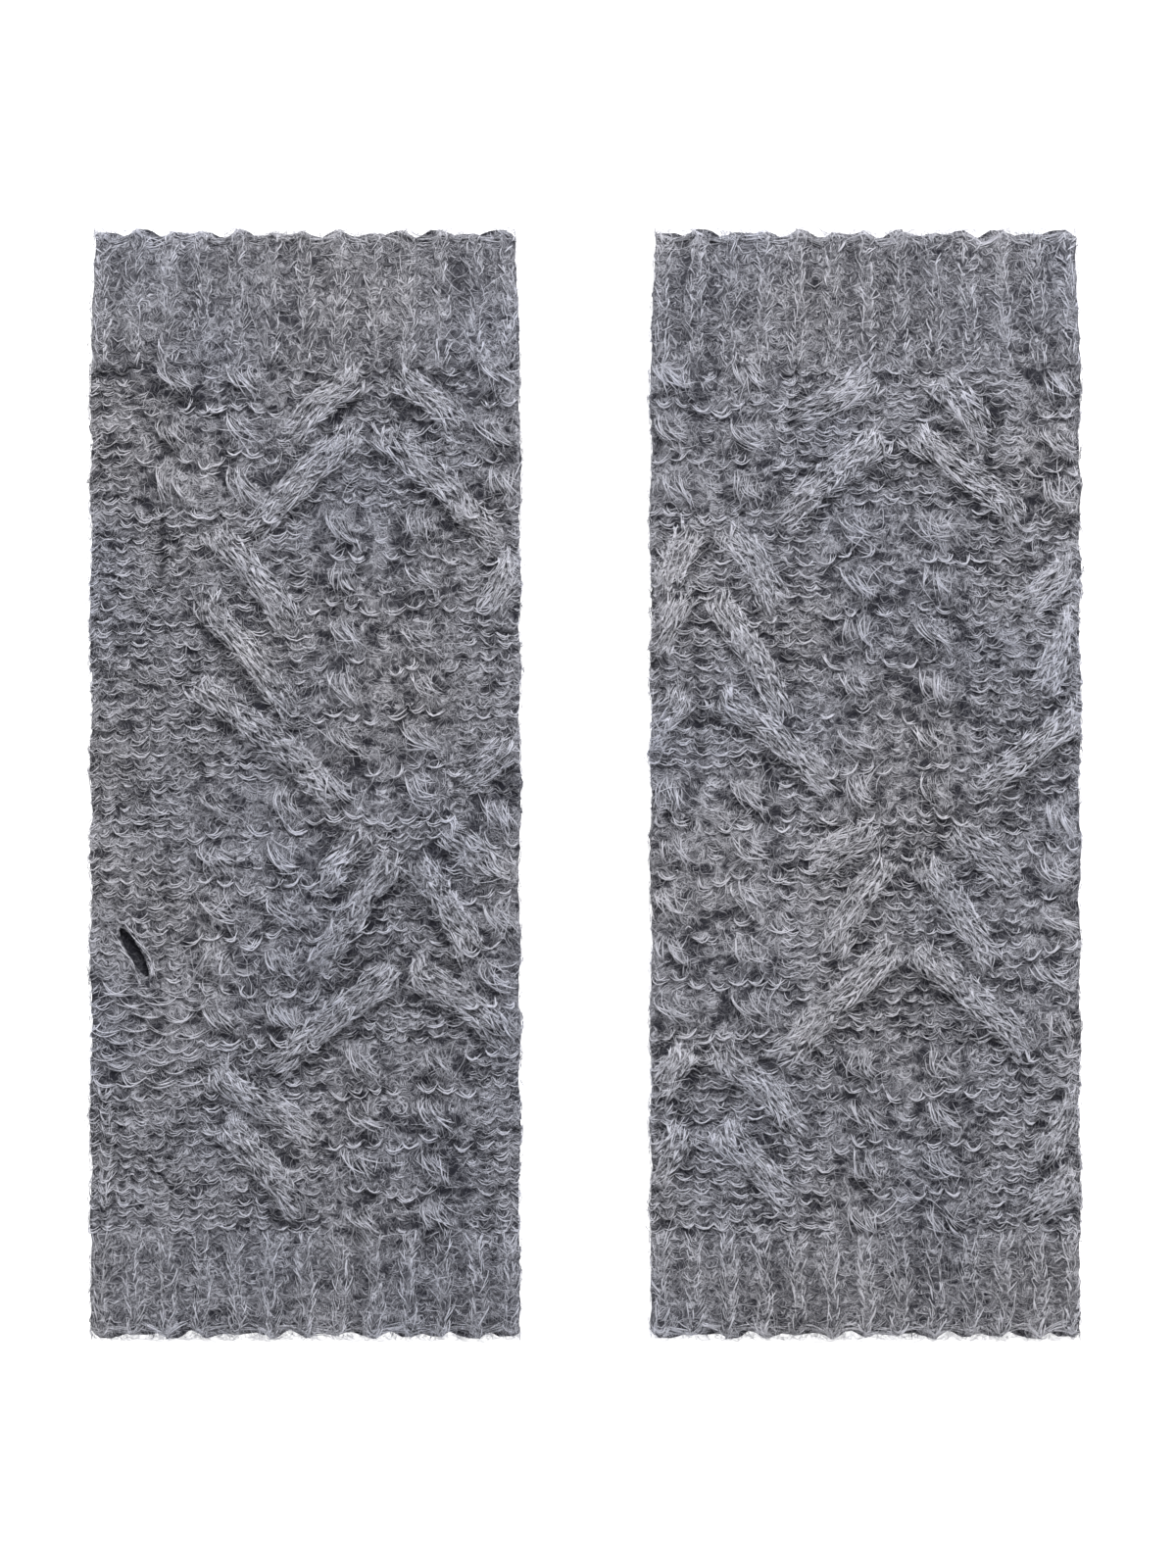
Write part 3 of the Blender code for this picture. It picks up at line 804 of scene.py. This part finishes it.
def flowing(table, count):
    """The rows of a table read at more places along a smooth curve through them."""
    padded = np.concatenate([2 * table[:1] - table[1:2], table, 2 * table[-1:] - table[-2:-1]])
    place = np.linspace(0.0, len(table) - 1, count)
    first = np.minimum(place.astype(int), len(table) - 2)
    part = (place - first)[:, None]
    before, start, end, after = (padded[first + step] for step in range(4))
    return 0.5 * (2 * start + (end - before) * part
                  + (2 * before - 5 * start + 4 * end - after) * part ** 2
                  + (3 * start - before - 3 * end + after) * part ** 3)


def ripple(shape, one, other):
    return np.sin(one * shape.turns + shape.sway * np.sin(other * shape.sway_turns))


def drift(way, y):
    """The slow wander of hand-pulled rows and columns."""
    wander = DRIFT * ripple(DRIFT_ROUND, y, way)
    wave = DRIFT * ripple(DRIFT_ALONG, way, y)
    return way + wander, y + wave * (1.0 - in_cuffs(y))


def grid_of(columns, rows):
    """Every pair of a column and a row, as two flat lists."""
    way, y = np.meshgrid(columns, rows)
    return way.ravel(), y.ravel()


def upright_stitches(way, y):
    return Stitches(way, y, np.zeros(len(way)))


def in_slit(mitt, way, y, margin):
    """Which points lie in the thumb slit or within a margin of it."""
    start, end = slit_ends(mitt)
    point = skin(mitt, way, y)
    distance, offset, length = beside_line(start, end, point[..., 0] - MIDDLE_X[mitt], y)
    on_wall = (point[..., 2] > MIDDLE_Z) == (mitt == "left")
    near = (distance > -margin) & (distance < length + margin)
    return on_wall & near & (np.abs(offset) < SLIT_WIDTH / 2 + margin)


def slit_ends(mitt):
    side = 1.0 if mitt == "left" else -1.0
    return Vector((SLIT_START.x * side, SLIT_START.y)), Vector((SLIT_END.x * side, SLIT_END.y))


def in_cells(mitt, way, y):
    """Which points lie in the lattice of small crossings, that has stitches of its own."""
    x = skin_x(mitt, way, y)
    inside = np.zeros(x.shape, bool)
    for centre_x, centre_y in cells_of(mitt):
        inside |= (np.abs(x - centre_x) < CELL_REACH) & (np.abs(y - centre_y) < CELL_PITCH / 2)
    return inside


def in_stretch(mitt, way, y):
    """Which points lie where the thumb has pulled the purl stitches wide."""
    x = skin_x(mitt, way, y)
    inside = (x > STRETCH.left) & (x < STRETCH.right) & (y > STRETCH.low) & (y < STRETCH.high)
    return inside & (way < ROUND / 2) & (mitt == "left")


def stretched_purl(mitt, dice):
    """The wide, thin purl arcs below the thumb slit of the left mitt, and its side seam."""
    parts = []
    for number, row in enumerate(np.arange(STRETCH.low + ROW / 2, STRETCH.high, STRETCH_ROW)):
        start = STRETCH.left + STRETCH_STITCH * (0.25 + 0.5 * (number % 2))
        x = np.arange(start, STRETCH.right, STRETCH_STITCH)
        y = row + STRETCH_SLIP * dice.standard_normal(len(x))
        parts.append(front_loops(mitt, x, y, 0.0, WIDE_PURL, dice))
        parts.append(front_loops(mitt, x + STRETCH_STITCH / 2, y, 0.0, WIDE_TOP, dice))
    y = np.arange(SEAM_TOP, SEAM_FOOT, -ROW)
    seam = front_stitches(mitt, np.full(len(y), SEAM_X), y, 0.0)
    parts += both_arms(mitt, seam, SEAM_KNIT, dice)
    parts.append(front_loops(mitt, np.array([SEAM_END_X]), np.array([SEAM_FOOT]), 0.0, SEAM_PURL,
                             dice))
    return parts


def purl_ground(mitt, dice):
    """The purl side of plain knitting, wherever no cable covers it, and all over the palm."""
    columns = (np.arange(STITCHES_ROUND) + 0.5) * ROUND / STITCHES_ROUND
    rows = BODY_BOTTOM + (np.arange(BODY_ROWS) + 0.5) * ROW
    way, y = grid_of(columns, rows)
    front = way < ROUND / 2
    parts = []
    for shift, wall, knit in ((0.0, front, PURL), (0.0, ~front, PALM_PURL), (0.5, front, PURL_TOP)):
        at = way + shift * ROUND / STITCHES_ROUND
        high = (skin(mitt, at, y)[..., 2] > FRONT_TOP + COVERED) & front
        seen = ~high & ~in_slit(mitt, at, y, SLIT_MARGIN) & ~(in_cells(mitt, at, y) & front)
        seen &= ~in_stretch(mitt, at, y) & wall
        parts.append(knit_loops(mitt, upright_stitches(at[seen], y[seen]), knit, dice))
    return parts


def leg_chains(mitt, dice):
    """Three chains of knit stitches along each leg of the large cables."""
    places = []
    legs = list(legs_of(mitt))
    for leg in legs:
        step = leg.end - leg.start
        count = round((step.length + LEG_OVERRUN) / CHAIN_PITCH)
        for chain in (-1, 0, 1):
            share = (np.arange(count) + CHAIN_START + CHAIN_STAGGER * chain) / count
            distance = share * (step.length + LEG_OVERRUN) - LEG_RISE / 2
            bow = leg_bow(leg, np.clip(distance / step.length, 0.0, 1.0))
            x, y = along_line(leg.start, leg.end, distance, chain * CHAIN_WIDTH - bow)
            own = leg_height(x, y, leg)
            most = np.max([leg_height(x, y, other) for other in legs], axis=0)
            kept = (own > LEG_SHOWS) & (own > most - LEG_TIE) & in_body(y)
            kept &= (x > side_x(mitt, -1, y)) & (x < side_x(mitt, 1, y))
            turn = math.atan2(step.x, -step.y) * ease(distance / CREST_TURN + CREST_START)
            places.append(np.stack([x[kept], y[kept], turn[kept]]))
    x, y, turn = np.concatenate(places, axis=1)
    return both_arms(mitt, Stitches(way_at(mitt, x, y), y, turn), LEG_KNIT, dice)


def crossing_cells(mitt, dice):
    """Each small crossing, the garland of purl arcs under it and the ladders beside it."""
    parts = []
    centres = np.array(list(cells_of(mitt)))
    x, y = (centres + CELL_SLIP * dice.standard_normal(centres.shape)).T
    swing = CELL_SWING * dice.standard_normal(len(centres))
    for bundle in BUNDLES:
        half = bundle.half_length * MILLIMETRE
        knit = Knit(SWEEP, half, half, bundle.yarn, bundle.sink, bundle.lighter)
        parts.append(front_loops(mitt, x + bundle.x * MILLIMETRE, y + bundle.y * MILLIMETRE,
                                 math.radians(bundle.lean) + swing, knit, dice))
    for row in LADDER_ROWS:
        for reach in (-CELL_REACH, CELL_REACH):
            parts.append(front_loops(mitt, x + reach, y + row * ROW, swing, LADDER, dice))
    for place in (-1.5, -0.5, 0.5, 1.5):
        shown = dice.random(len(centres)) < GARLAND_SHARE
        over = x[shown] + place * BAR_STITCH
        low = y[shown] - BAR_DROP - BAR_SAG * (abs(place) > 1)
        parts.append(front_loops(mitt, over, low, swing[shown], GARLAND, dice))
    low = y - BAR_DROP + BAR_RISE
    for place in (-1.0, 0.0, 1.0):
        parts.append(front_loops(mitt, x + place * BAR_STITCH, low, swing, GARLAND_TOP, dice))
    return parts


def front_stitches(mitt, x, y, turn):
    """Stitches at places on the front, without those that would hang over a side."""
    kept = (np.abs(x) < MITT_WIDTH / 2 - SIDE_CLEAR) & in_body(y)
    turn = np.broadcast_to(turn, kept.shape)[kept]
    return Stitches(way_at(mitt, x[kept], y[kept]), y[kept], turn)


def front_loops(mitt, x, y, turn, knit, dice):
    return knit_loops(mitt, front_stitches(mitt, x, y, turn), knit, dice)


def ribs(mitt, dice):
    """Both cuffs: columns of knit stitches with purl bars in the dips between them."""
    rows = np.concatenate([start + (np.arange(count) + 0.5) * (end - start) / count
                           for start, end, count in ((BODY_TOP, ARM_END, ARM_RIB_ROWS),
                                                     (BODY_BOTTOM, HAND_END, HAND_RIB_ROWS))])
    dips = np.arange(RIBS_ROUND) * ROUND / RIBS_ROUND
    crests = (np.arange(RIBS_ROUND) + 0.5) * ROUND / RIBS_ROUND
    parts = both_arms(mitt, upright_stitches(*grid_of(crests, rows)), RIB_KNIT, dice)
    return parts + [knit_loops(mitt, upright_stitches(*grid_of(dips, rows)), RIB_PURL, dice)]


def bound_edges(mitt, dice):
    """The uneven beads of the cast-on and bound-off edges."""
    parts = []
    for end_y in (ARM_END, HAND_END):
        out = math.copysign(1.0, end_y)
        bead = EDGE_BEAD._replace(loop=tuple(p._replace(along=out * p.along) for p in KNOB))
        for place, inset in EDGE_KNOBS:
            way = (np.arange(RIBS_ROUND) + place) * ROUND / RIBS_ROUND
            way = way + EDGE_KNOB_SHIFT * dice.standard_normal(RIBS_ROUND)
            y = end_y - out * (inset + EDGE_KNOB_SLIP * dice.random(RIBS_ROUND))
            turn = EDGE_KNOB_LEAN * dice.standard_normal(RIBS_ROUND)
            parts.append(knit_loops(mitt, Stitches(way, y, turn), bead, dice))
    return parts


def slit_rim(mitt, dice):
    """Stretched strands along both lips of the thumb slit."""
    start, end = slit_ends(mitt)
    step = end - start
    spots = np.linspace(0.0, step.length, SLIT_STITCHES)
    parts = []
    for side in (-1, 1):
        x, y = along_line(start, end, spots, side * (SLIT_WIDTH / 2 + RIM_INSET))
        way = way_at(mitt, x, y)
        turn = math.atan2(-step.x, step.y)
        if mitt == "right":
            way = ROUND - way
            turn = -turn
        parts.append(knit_loops(mitt, Stitches(way, y, np.full(len(x), turn)), SLIT_RIM, dice))
    return parts


def pile(mitt, fibres, dice):
    """Loose mohair fibres, each rooted in the knitting and lying along a curve of its own."""
    below = dice.random(fibres.count) < fibres.share_below
    way = dice.random(fibres.count) * ROUND / 2 + np.where(below, ROUND / 2, 0.0)
    y = settle(way, dice.uniform(HAND_END, ARM_END, fibres.count))
    count, points = len(way), fibres.points
    heading = combing(way, y) + FIBRE_STRAY * dice.standard_normal(count)
    height = np.minimum(dice.exponential(fibres.lift, count), FIBRE_HIGHEST)
    if fibres is SHORT_FIBRES:
        ends = slice(0, EDGE_FIBRES)
        folds = slice(EDGE_FIBRES, EDGE_FIBRES + FOLD_FIBRES)
        y[ends] = settle(way[ends], np.sign(y[ends]) * (ARM_END - EDGE_FIBRE_BAND))
        heading[ends] = np.sign(y[ends]) * math.pi / 2
        heading[ends] += EDGE_FIBRE_STRAY * dice.standard_normal(EDGE_FIBRES)
        way[folds] = (dice.random(FOLD_FIBRES) < 0.5) * ROUND / 2
        way[folds] += FOLD_FIBRE_BAND * dice.standard_normal(FOLD_FIBRES)
        height[folds] += FOLD_FIBRE_LIFT
    curl = dice.normal(0.0, FIBRE_CURL, count)
    wave = dice.normal(0.0, FIBRE_WAVE, count)
    long = fibres.length * np.exp(dice.normal(0.0, FIBRE_LENGTH_SPREAD, count))
    shape = np.linspace(0.0, 1.0, points)
    bend = curl[:, None] * shape + wave[:, None] * np.sin(2 * math.pi * shape)
    angle = heading[:, None] + bend
    stride = (long / (points - 1))[:, None]
    way = way[:, None] + np.cumsum(np.cos(angle) * stride, axis=1)
    y = y[:, None] + np.cumsum(np.sin(angle) * stride, axis=1)
    past = FIBRE_PAST_EDGE * dice.random((count, 1))
    y = y - np.maximum(y.max(axis=1, keepdims=True) - ARM_END - past, 0.0)
    y = y + np.maximum(HAND_END - past - y.min(axis=1, keepdims=True), 0.0)
    rise = height[:, None] * shape + FIBRE_LIE
    clear = ~in_slit(mitt, way, y, SLIT_FIBRE_MARGIN).any(axis=1)
    clear &= (in_cuffs(y[:, 0]) < 0.5) | (dice.random(count) > CUFF_THINNING)
    way, y, rise, count = way[clear], y[clear], rise[clear], clear.sum()
    paths = under_skin(mitt, way, y, -rise)
    paths[..., 2] = np.maximum(paths[..., 2], FIBRE_RADIUS)
    outside = np.abs(y).max(axis=1, keepdims=True) > ARM_END - EDGE_FIBRE_BAND
    # Fibres past the bound edges get painted light
    tones = dice.normal(FIBRE_TONE[mitt], FIBRE_MARL, (count, 1)) + EDGE_FIBRE_PAINTED_LIGHT * outside
    tones = tones + painted_shade_and_cuff_tone(mitt, way, y)
    girths = FIBRE_RADIUS * dice.uniform(*FIBRE_GIRTHS, (count, 1))
    girths = girths * (1.0 - EDGE_FIBRE_FINER * outside) + np.zeros(points - 2)
    hint = unit(dice.standard_normal((count, 3)) + [0.0, 0.0, FIBRE_UPRIGHT])
    return spindles(paths, girths, FIBRE_SIDES, tones, hint)


def combing(way, y):
    """The way that the nap lies, which turns slowly over the cloth."""
    swing = ripple(NAP_ROUND, way, y) + ripple(NAP_ALONG, y, way)
    flick = np.sin(y * NAP_FLICK_TURNS[0] + way * NAP_FLICK_TURNS[1])
    return NAP_SWING * swing + NAP_FLICK * flick


def cloth_tube(mitt, material):
    """The fabric itself: a thin-walled flat tube under the yarn, open at both ends."""
    half = ROUND / 2
    way = np.concatenate([np.linspace(0.0, half, FRONT_COLUMNS, endpoint=False),
                          np.linspace(half, ROUND, PALM_COLUMNS, endpoint=False)])
    outer_way, outer_y = np.meshgrid(way, OUTER_LINES)
    inner_way, inner_y = np.meshgrid(way, np.linspace(ARM_END, HAND_END, INNER_ROWS))
    shorter = 1.0 - CLOTH_END_INSET / ARM_END
    depth = FOLD_CLOTH_DEPTH + (CLOTH_DEPTH - FOLD_CLOTH_DEPTH) * read_round(WAY_FLAT, outer_way)
    outer = under_skin(mitt, outer_way, settle(outer_way, outer_y) * shorter, depth)
    inner = skin(mitt, inner_way, settle(inner_way, inner_y) * shorter)
    middle = MIDDLE_X[mitt]
    inner[..., 0] = middle + (inner[..., 0] - middle) * (1.0 - 2 * INNER_INSET / MITT_WIDTH)
    front = (inner_way > 0) & (inner_way < half)
    inner[..., 2] = np.where(front, FRONT_FLOOR, PALM_THICKNESS)
    inner[..., 2] = np.where((inner_way == 0) | (inner_way == half), MIDDLE_Z, inner[..., 2])
    points = np.concatenate([outer, inner])
    rows, columns = points.shape[:2]
    index = np.arange(rows * columns).reshape(rows, columns)
    right = np.roll(index, -1, axis=1)
    quads = np.stack([index, right, np.roll(right, -1, axis=0), np.roll(index, -1, axis=0)],
                     axis=-1)
    tone = CLOTH_TONE + painted_shade_and_cuff_tone(mitt, outer_way, outer_y)
    # Painted shade on the inner wall of the tube
    tone = np.concatenate([tone, np.full(inner.shape[:2], INSIDE_PAINTED_SHADE)])
    shell = Strands(points.reshape(-1, 3), quads.reshape(-1, 4), np.zeros((0, 3), int),
                    tone.ravel())
    tube = mesh_piece(f"{mitt}_mitt_cloth", shell, material)
    cut_slit(tube, mitt)
    return tube


def cut_slit(tube, mitt):
    """Cuts the thumb slit through one wall of the tube, into its hollow."""
    start, end = slit_ends(mitt)
    centre = (start + end) / 2
    cutter_mesh = bpy.data.meshes.new("slit_cutter")
    form = bmesh.new()
    bmesh.ops.create_cone(form, cap_ends=True, segments=SLIT_SIDES, radius1=0.5, radius2=0.5,
                          depth=1.0)
    form.to_mesh(cutter_mesh)
    form.free()
    low, high = (MIDDLE_Z, CUT_TOP) if mitt == "left" else (CUT_FOOT, MIDDLE_Z)
    cutter = set_in_scene("slit_cutter", cutter_mesh,
                          (centre.x + MIDDLE_X[mitt], centre.y, (low + high) / 2))
    cutter.scale = ((end - start).length, SLIT_WIDTH, high - low)
    cutter.rotation_euler = (0.0, 0.0, math.atan2(end.y - start.y, end.x - start.x))
    cut = tube.modifiers.new("slit", "BOOLEAN")
    cut.object = cutter
    cut.operation = "DIFFERENCE"
    bpy.context.view_layer.update()
    evaluated = tube.evaluated_get(bpy.context.evaluated_depsgraph_get())
    opened = bpy.data.meshes.new_from_object(evaluated)
    tube.modifiers.clear()
    tube.data = opened
    bpy.data.objects.remove(cutter)


def fill(made, sockets):
    """Gives each named input socket of a node its value, or a link to the socket given."""
    for name, value in sockets.items():
        if isinstance(value, bpy.types.NodeSocket):
            made.id_data.links.new(value, made.inputs[name])
        else:
            made.inputs[name].default_value = value
    return made


def node(tree, kind, sockets, **settings):
    """A new shader node with its settings and inputs."""
    made = tree.nodes.new("ShaderNode" + kind)
    for name, value in settings.items():
        setattr(made, name, value)
    return fill(made, sockets)


def new_group(name, inputs, output):
    """An empty node group with named number sockets."""
    group = bpy.data.node_groups.new(name, "ShaderNodeTree")
    for label, value in inputs.items():
        socket = group.interface.new_socket(label, in_out="INPUT", socket_type="NodeSocketFloat")
        socket.default_value = value
    group.interface.new_socket(output, in_out="OUTPUT", socket_type="NodeSocketFloat")
    return group, group.nodes.new("NodeGroupInput").outputs, group.nodes.new("NodeGroupOutput")


def arithmetic(tree, operation, *values, kind="Math"):
    """The result of a maths node, on numbers or on vectors."""
    return node(tree, kind, dict(enumerate(values)), operation=operation).outputs[0]


def vectors(tree, operation, *values):
    return arithmetic(tree, operation, *values, kind="VectorMath")


def noise(tree, place, scale, detail, roughness=0.5):
    return node(tree, "TexNoise", {"Vector": place, "Scale": scale, "Detail": detail,
                                   "Roughness": roughness})


def between(tree, value, start, end, first, last, way="LINEAR"):
    """A number that goes from a first value to a last one as another goes from start to end."""
    return node(tree, "MapRange", {"Value": value, "From Min": start, "From Max": end,
                                   "To Min": first, "To Max": last},
                interpolation_type=way).outputs[0]


def fibre_mat_group():
    """A mat of fine curly hairs that lie several ways: 1 on a hair and 0 between them."""
    group, inputs, outputs = new_group(
        "fibre_mat", {"Closeness": 2000.0, "Length": 11.0, "Width": 0.045, "Curl": 0.004}, "Hairs")
    place = node(group, "TexCoord", {}).outputs["Object"]
    warp = noise(group, place, HAIR_WARP_SCALE, 1.0).outputs["Color"]
    centred = vectors(group, "SUBTRACT", warp, (0.5, 0.5, 0.5))
    bend = node(group, "VectorMath", {0: centred, "Scale": inputs["Curl"]}, operation="SCALE")
    push = vectors(group, "ADD", place, bend.outputs[0])
    long = arithmetic(group, "DIVIDE", inputs["Closeness"], inputs["Length"])
    stretch = node(group, "CombineXYZ", {0: long, 1: inputs["Closeness"], 2: long})
    most = 0.0
    for turn in range(HAIR_WAYS):
        spin = node(group, "VectorRotate", {
            "Vector": push, "Angle": math.pi * (turn + HAIR_FIRST_TURN) / HAIR_WAYS},
            rotation_type="Z_AXIS")
        spread = vectors(group, "MULTIPLY", spin.outputs[0], stretch.outputs[0])
        moved = vectors(group, "ADD", spread, (HAIR_STEP[0] * turn, HAIR_STEP[1] * turn, 0.0))
        waves = noise(group, moved, 1.0, 1.0, HAIR_ROUGHNESS).outputs["Fac"]
        away = arithmetic(group, "ABSOLUTE", arithmetic(group, "SUBTRACT", waves, 0.5))
        hair = between(group, away, 0.0, inputs["Width"], 1.0, 0.0, "SMOOTHSTEP")
        fade = noise(group, moved, HAIR_FADE_SCALE, 0.0).outputs["Fac"]
        strength = between(group, fade, *HAIR_FADE, 0.0, 1.0)
        most = arithmetic(group, "MAXIMUM", arithmetic(group, "MULTIPLY", hair, strength), most)
    fill(outputs, {"Hairs": most})
    return group


def painted_gap_shade_group():
    """Painted shade in the gaps between the stitches, as a mask that is 1 in the middle of a gap.
    """
    group, inputs, outputs = new_group("pits", {"Across": 230.0, "Along": 400.0}, "Pits")
    place = node(group, "TexCoord", {}).outputs["Object"]
    stretch = node(group, "CombineXYZ", {0: inputs["Across"], 1: inputs["Along"],
                                         2: inputs["Across"]})
    spread = vectors(group, "MULTIPLY", place, stretch.outputs[0])
    mask = between(group, noise(group, spread, 1.0, 1.0).outputs["Fac"], *GAP_SHADE_EDGES, 1.0, 0.0,
                   "SMOOTHSTEP")
    y = node(group, "SeparateXYZ", {0: place}).outputs[1]
    off_middle = arithmetic(group, "SUBTRACT", y, (BODY_TOP + BODY_BOTTOM) / 2)
    half = (BODY_TOP - BODY_BOTTOM) / 2
    body = between(group, arithmetic(group, "ABSOLUTE", off_middle), half - CUFF_BLEND,
                   half + CUFF_BLEND, 1.0, CUFF_GAP_SHADE)
    fill(outputs, {"Pits": arithmetic(group, "MULTIPLY", mask, body)})
    return group


def mottle_group():
    """Soft patches where the dye took more or less, around 0.5."""
    group, inputs, outputs = new_group("mottle", {"Scale": 60.0}, "Patches")
    place = node(group, "TexCoord", {}).outputs["Object"]
    fill(outputs, {"Patches": noise(group, place, inputs["Scale"], 3.0).outputs["Fac"]})
    return group


def ramp(tree, value, stops):
    """The colour that a ramp gives for a number."""
    made = node(tree, "ValToRGB", {"Fac": value})
    elements = made.color_ramp.elements
    while len(elements) < len(stops):
        elements.new(0.5)
    for element, (place, colour) in zip(elements, stops):
        element.position = place
        element.color = (*colour, 1.0)
    return made.outputs["Color"]


def grey(value):
    """A cool grey of the brightness given, whose shadows are the bluest."""
    return tuple(value * cast + shadow for cast, shadow in zip(GREY_CAST, SHADOW_CAST))


def effect(tree, group, **inputs):
    """What a shared effect gives, with its own inputs where they are named here."""
    return fill(node(tree, "Group", {}, node_tree=group), inputs).outputs[0]


def new_material(name):
    material = bpy.data.materials.new(name)
    material.use_nodes = True
    return material, material.node_tree, material.node_tree.nodes["Principled BSDF"]


def mohair(finish, groups):
    """A grey mohair finish that goes from dark to light with each point's tone: its own colour,
    with painted shade and light added.
    """
    material, tree, shader = new_material(finish.name)
    tone = node(tree, "Attribute", {}, attribute_name="tone").outputs["Fac"]
    hairs = effect(tree, groups["fibre_mat"])
    patches = effect(tree, groups["mottle"])
    pits = effect(tree, groups["pits"])
    value = arithmetic(tree, "MULTIPLY_ADD", patches, PATCH_STRENGTH, -PATCH_STRENGTH / 2)
    value = arithmetic(tree, "ADD", value, tone)
    # Light hairs, and painted shade in the stitch gaps
    for mask, strength in ((hairs, finish.hairs), (pits, -finish.pits)):
        value = arithmetic(tree, "ADD", value, arithmetic(tree, "MULTIPLY", mask, strength))
    tint = ramp(tree, effect(tree, groups["mottle"], Scale=WARM_SCALE), TINTS)
    stops = [(place, grey(bright)) for place, bright in zip((0.0, 0.5, 1.0), finish.greys)]
    mix = node(tree, "Mix", {"Factor": 1.0, "A": ramp(tree, value, stops), "B": tint},
               data_type="RGBA", blend_type="MULTIPLY")
    fill(shader, {
        "Base Color": mix.outputs["Result"], "Roughness": 0.85, "Specular IOR Level": 0.25,
        "Sheen Weight": finish.sheen, "Sheen Roughness": 0.5})
    if finish.bump:
        relief = node(tree, "Bump", {"Strength": finish.bump, "Distance": BUMP_DISTANCE,
                                     "Height": hairs})
        fill(shader, {"Normal": relief.outputs["Normal"]})
    return material


def studio():
    """A white floor, soft light from above and a camera that looks straight down."""
    bpy.ops.mesh.primitive_plane_add(size=FLOOR_SIZE,
                                     location=(0.0, 0.0, cad_box[0].z - FLOOR_CLEAR))
    floor = bpy.context.object
    floor.name = "floor"
    white, _, shader = new_material("white_table")
    fill(shader, {
        "Base Color": (0.9, 0.9, 0.9, 1.0), "Roughness": 1.0,
        "Emission Color": (1.0, 1.0, 1.0, 1.0), "Emission Strength": FLOOR_GLOW})
    floor.data.materials.append(white)
    lamp = bpy.data.lights.new("soft_box", "AREA")
    lamp.shape = "RECTANGLE"
    lamp.size = LAMP_SIZE
    lamp.size_y = LAMP_SIZE
    lamp.energy = LAMP_WATTS
    soft_box = set_in_scene("soft_box", lamp, LAMP_PLACE)
    soft_box.rotation_euler = (-Vector(LAMP_PLACE)).to_track_quat("-Z", "Y").to_euler()
    world = bpy.data.worlds.new("studio")
    world.use_nodes = True
    fill(world.node_tree.nodes["Background"], {
        "Color": (1.0, 1.0, 1.0, 1.0), "Strength": WORLD_STRENGTH})
    bpy.context.scene.world = world
    eye = bpy.data.cameras.new("overhead")
    eye.lens = LENS
    eye.sensor_width = SENSOR
    bpy.context.scene.camera = set_in_scene(
        "overhead", eye, (CAMERA_SIDE_SHIFT, 0.0, PHOTO_HEIGHT * LENS / SENSOR))
    bpy.context.scene.view_settings.view_transform = "Standard"


def main():
    studio()
    groups = {"fibre_mat": fibre_mat_group(), "mottle": mottle_group(), "pits": painted_gap_shade_group()}
    backing = mohair(BACKING, groups)
    yarn = mohair(YARN, groups)
    halo = mohair(FIBRE, groups)
    for number, mitt in enumerate(MITTS):
        dice = np.random.default_rng(SEED + number)
        cloth = cloth_tube(mitt, backing)
        ground = purl_ground(mitt, dice)
        legs = leg_chains(mitt, dice)
        cells = crossing_cells(mitt, dice)
        if mitt == "left":
            ground += stretched_purl(mitt, dice)
        trims = ribs(mitt, dice) + bound_edges(mitt, dice) + slit_rim(mitt, dice)
        stitches = {"purl_ground": ground, "cable_legs": legs, "crossing_cells": cells,
                    "ribs_and_edges": trims}
        pieces = [mesh_piece(f"{mitt}_{name}", joined(parts), yarn)
                  for name, parts in stitches.items()]
        pieces += [mesh_piece(f"{mitt}_{name}", pile(mitt, fibres, dice), halo)
                   for name, fibres in (("long_pile", LONG_FIBRES), ("short_pile", SHORT_FIBRES))]
        for piece in pieces:
            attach(piece, "root")
        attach(cloth, "root")
        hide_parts(*(f"{mitt}_{part}" for part in NODE_NAMES))


main()
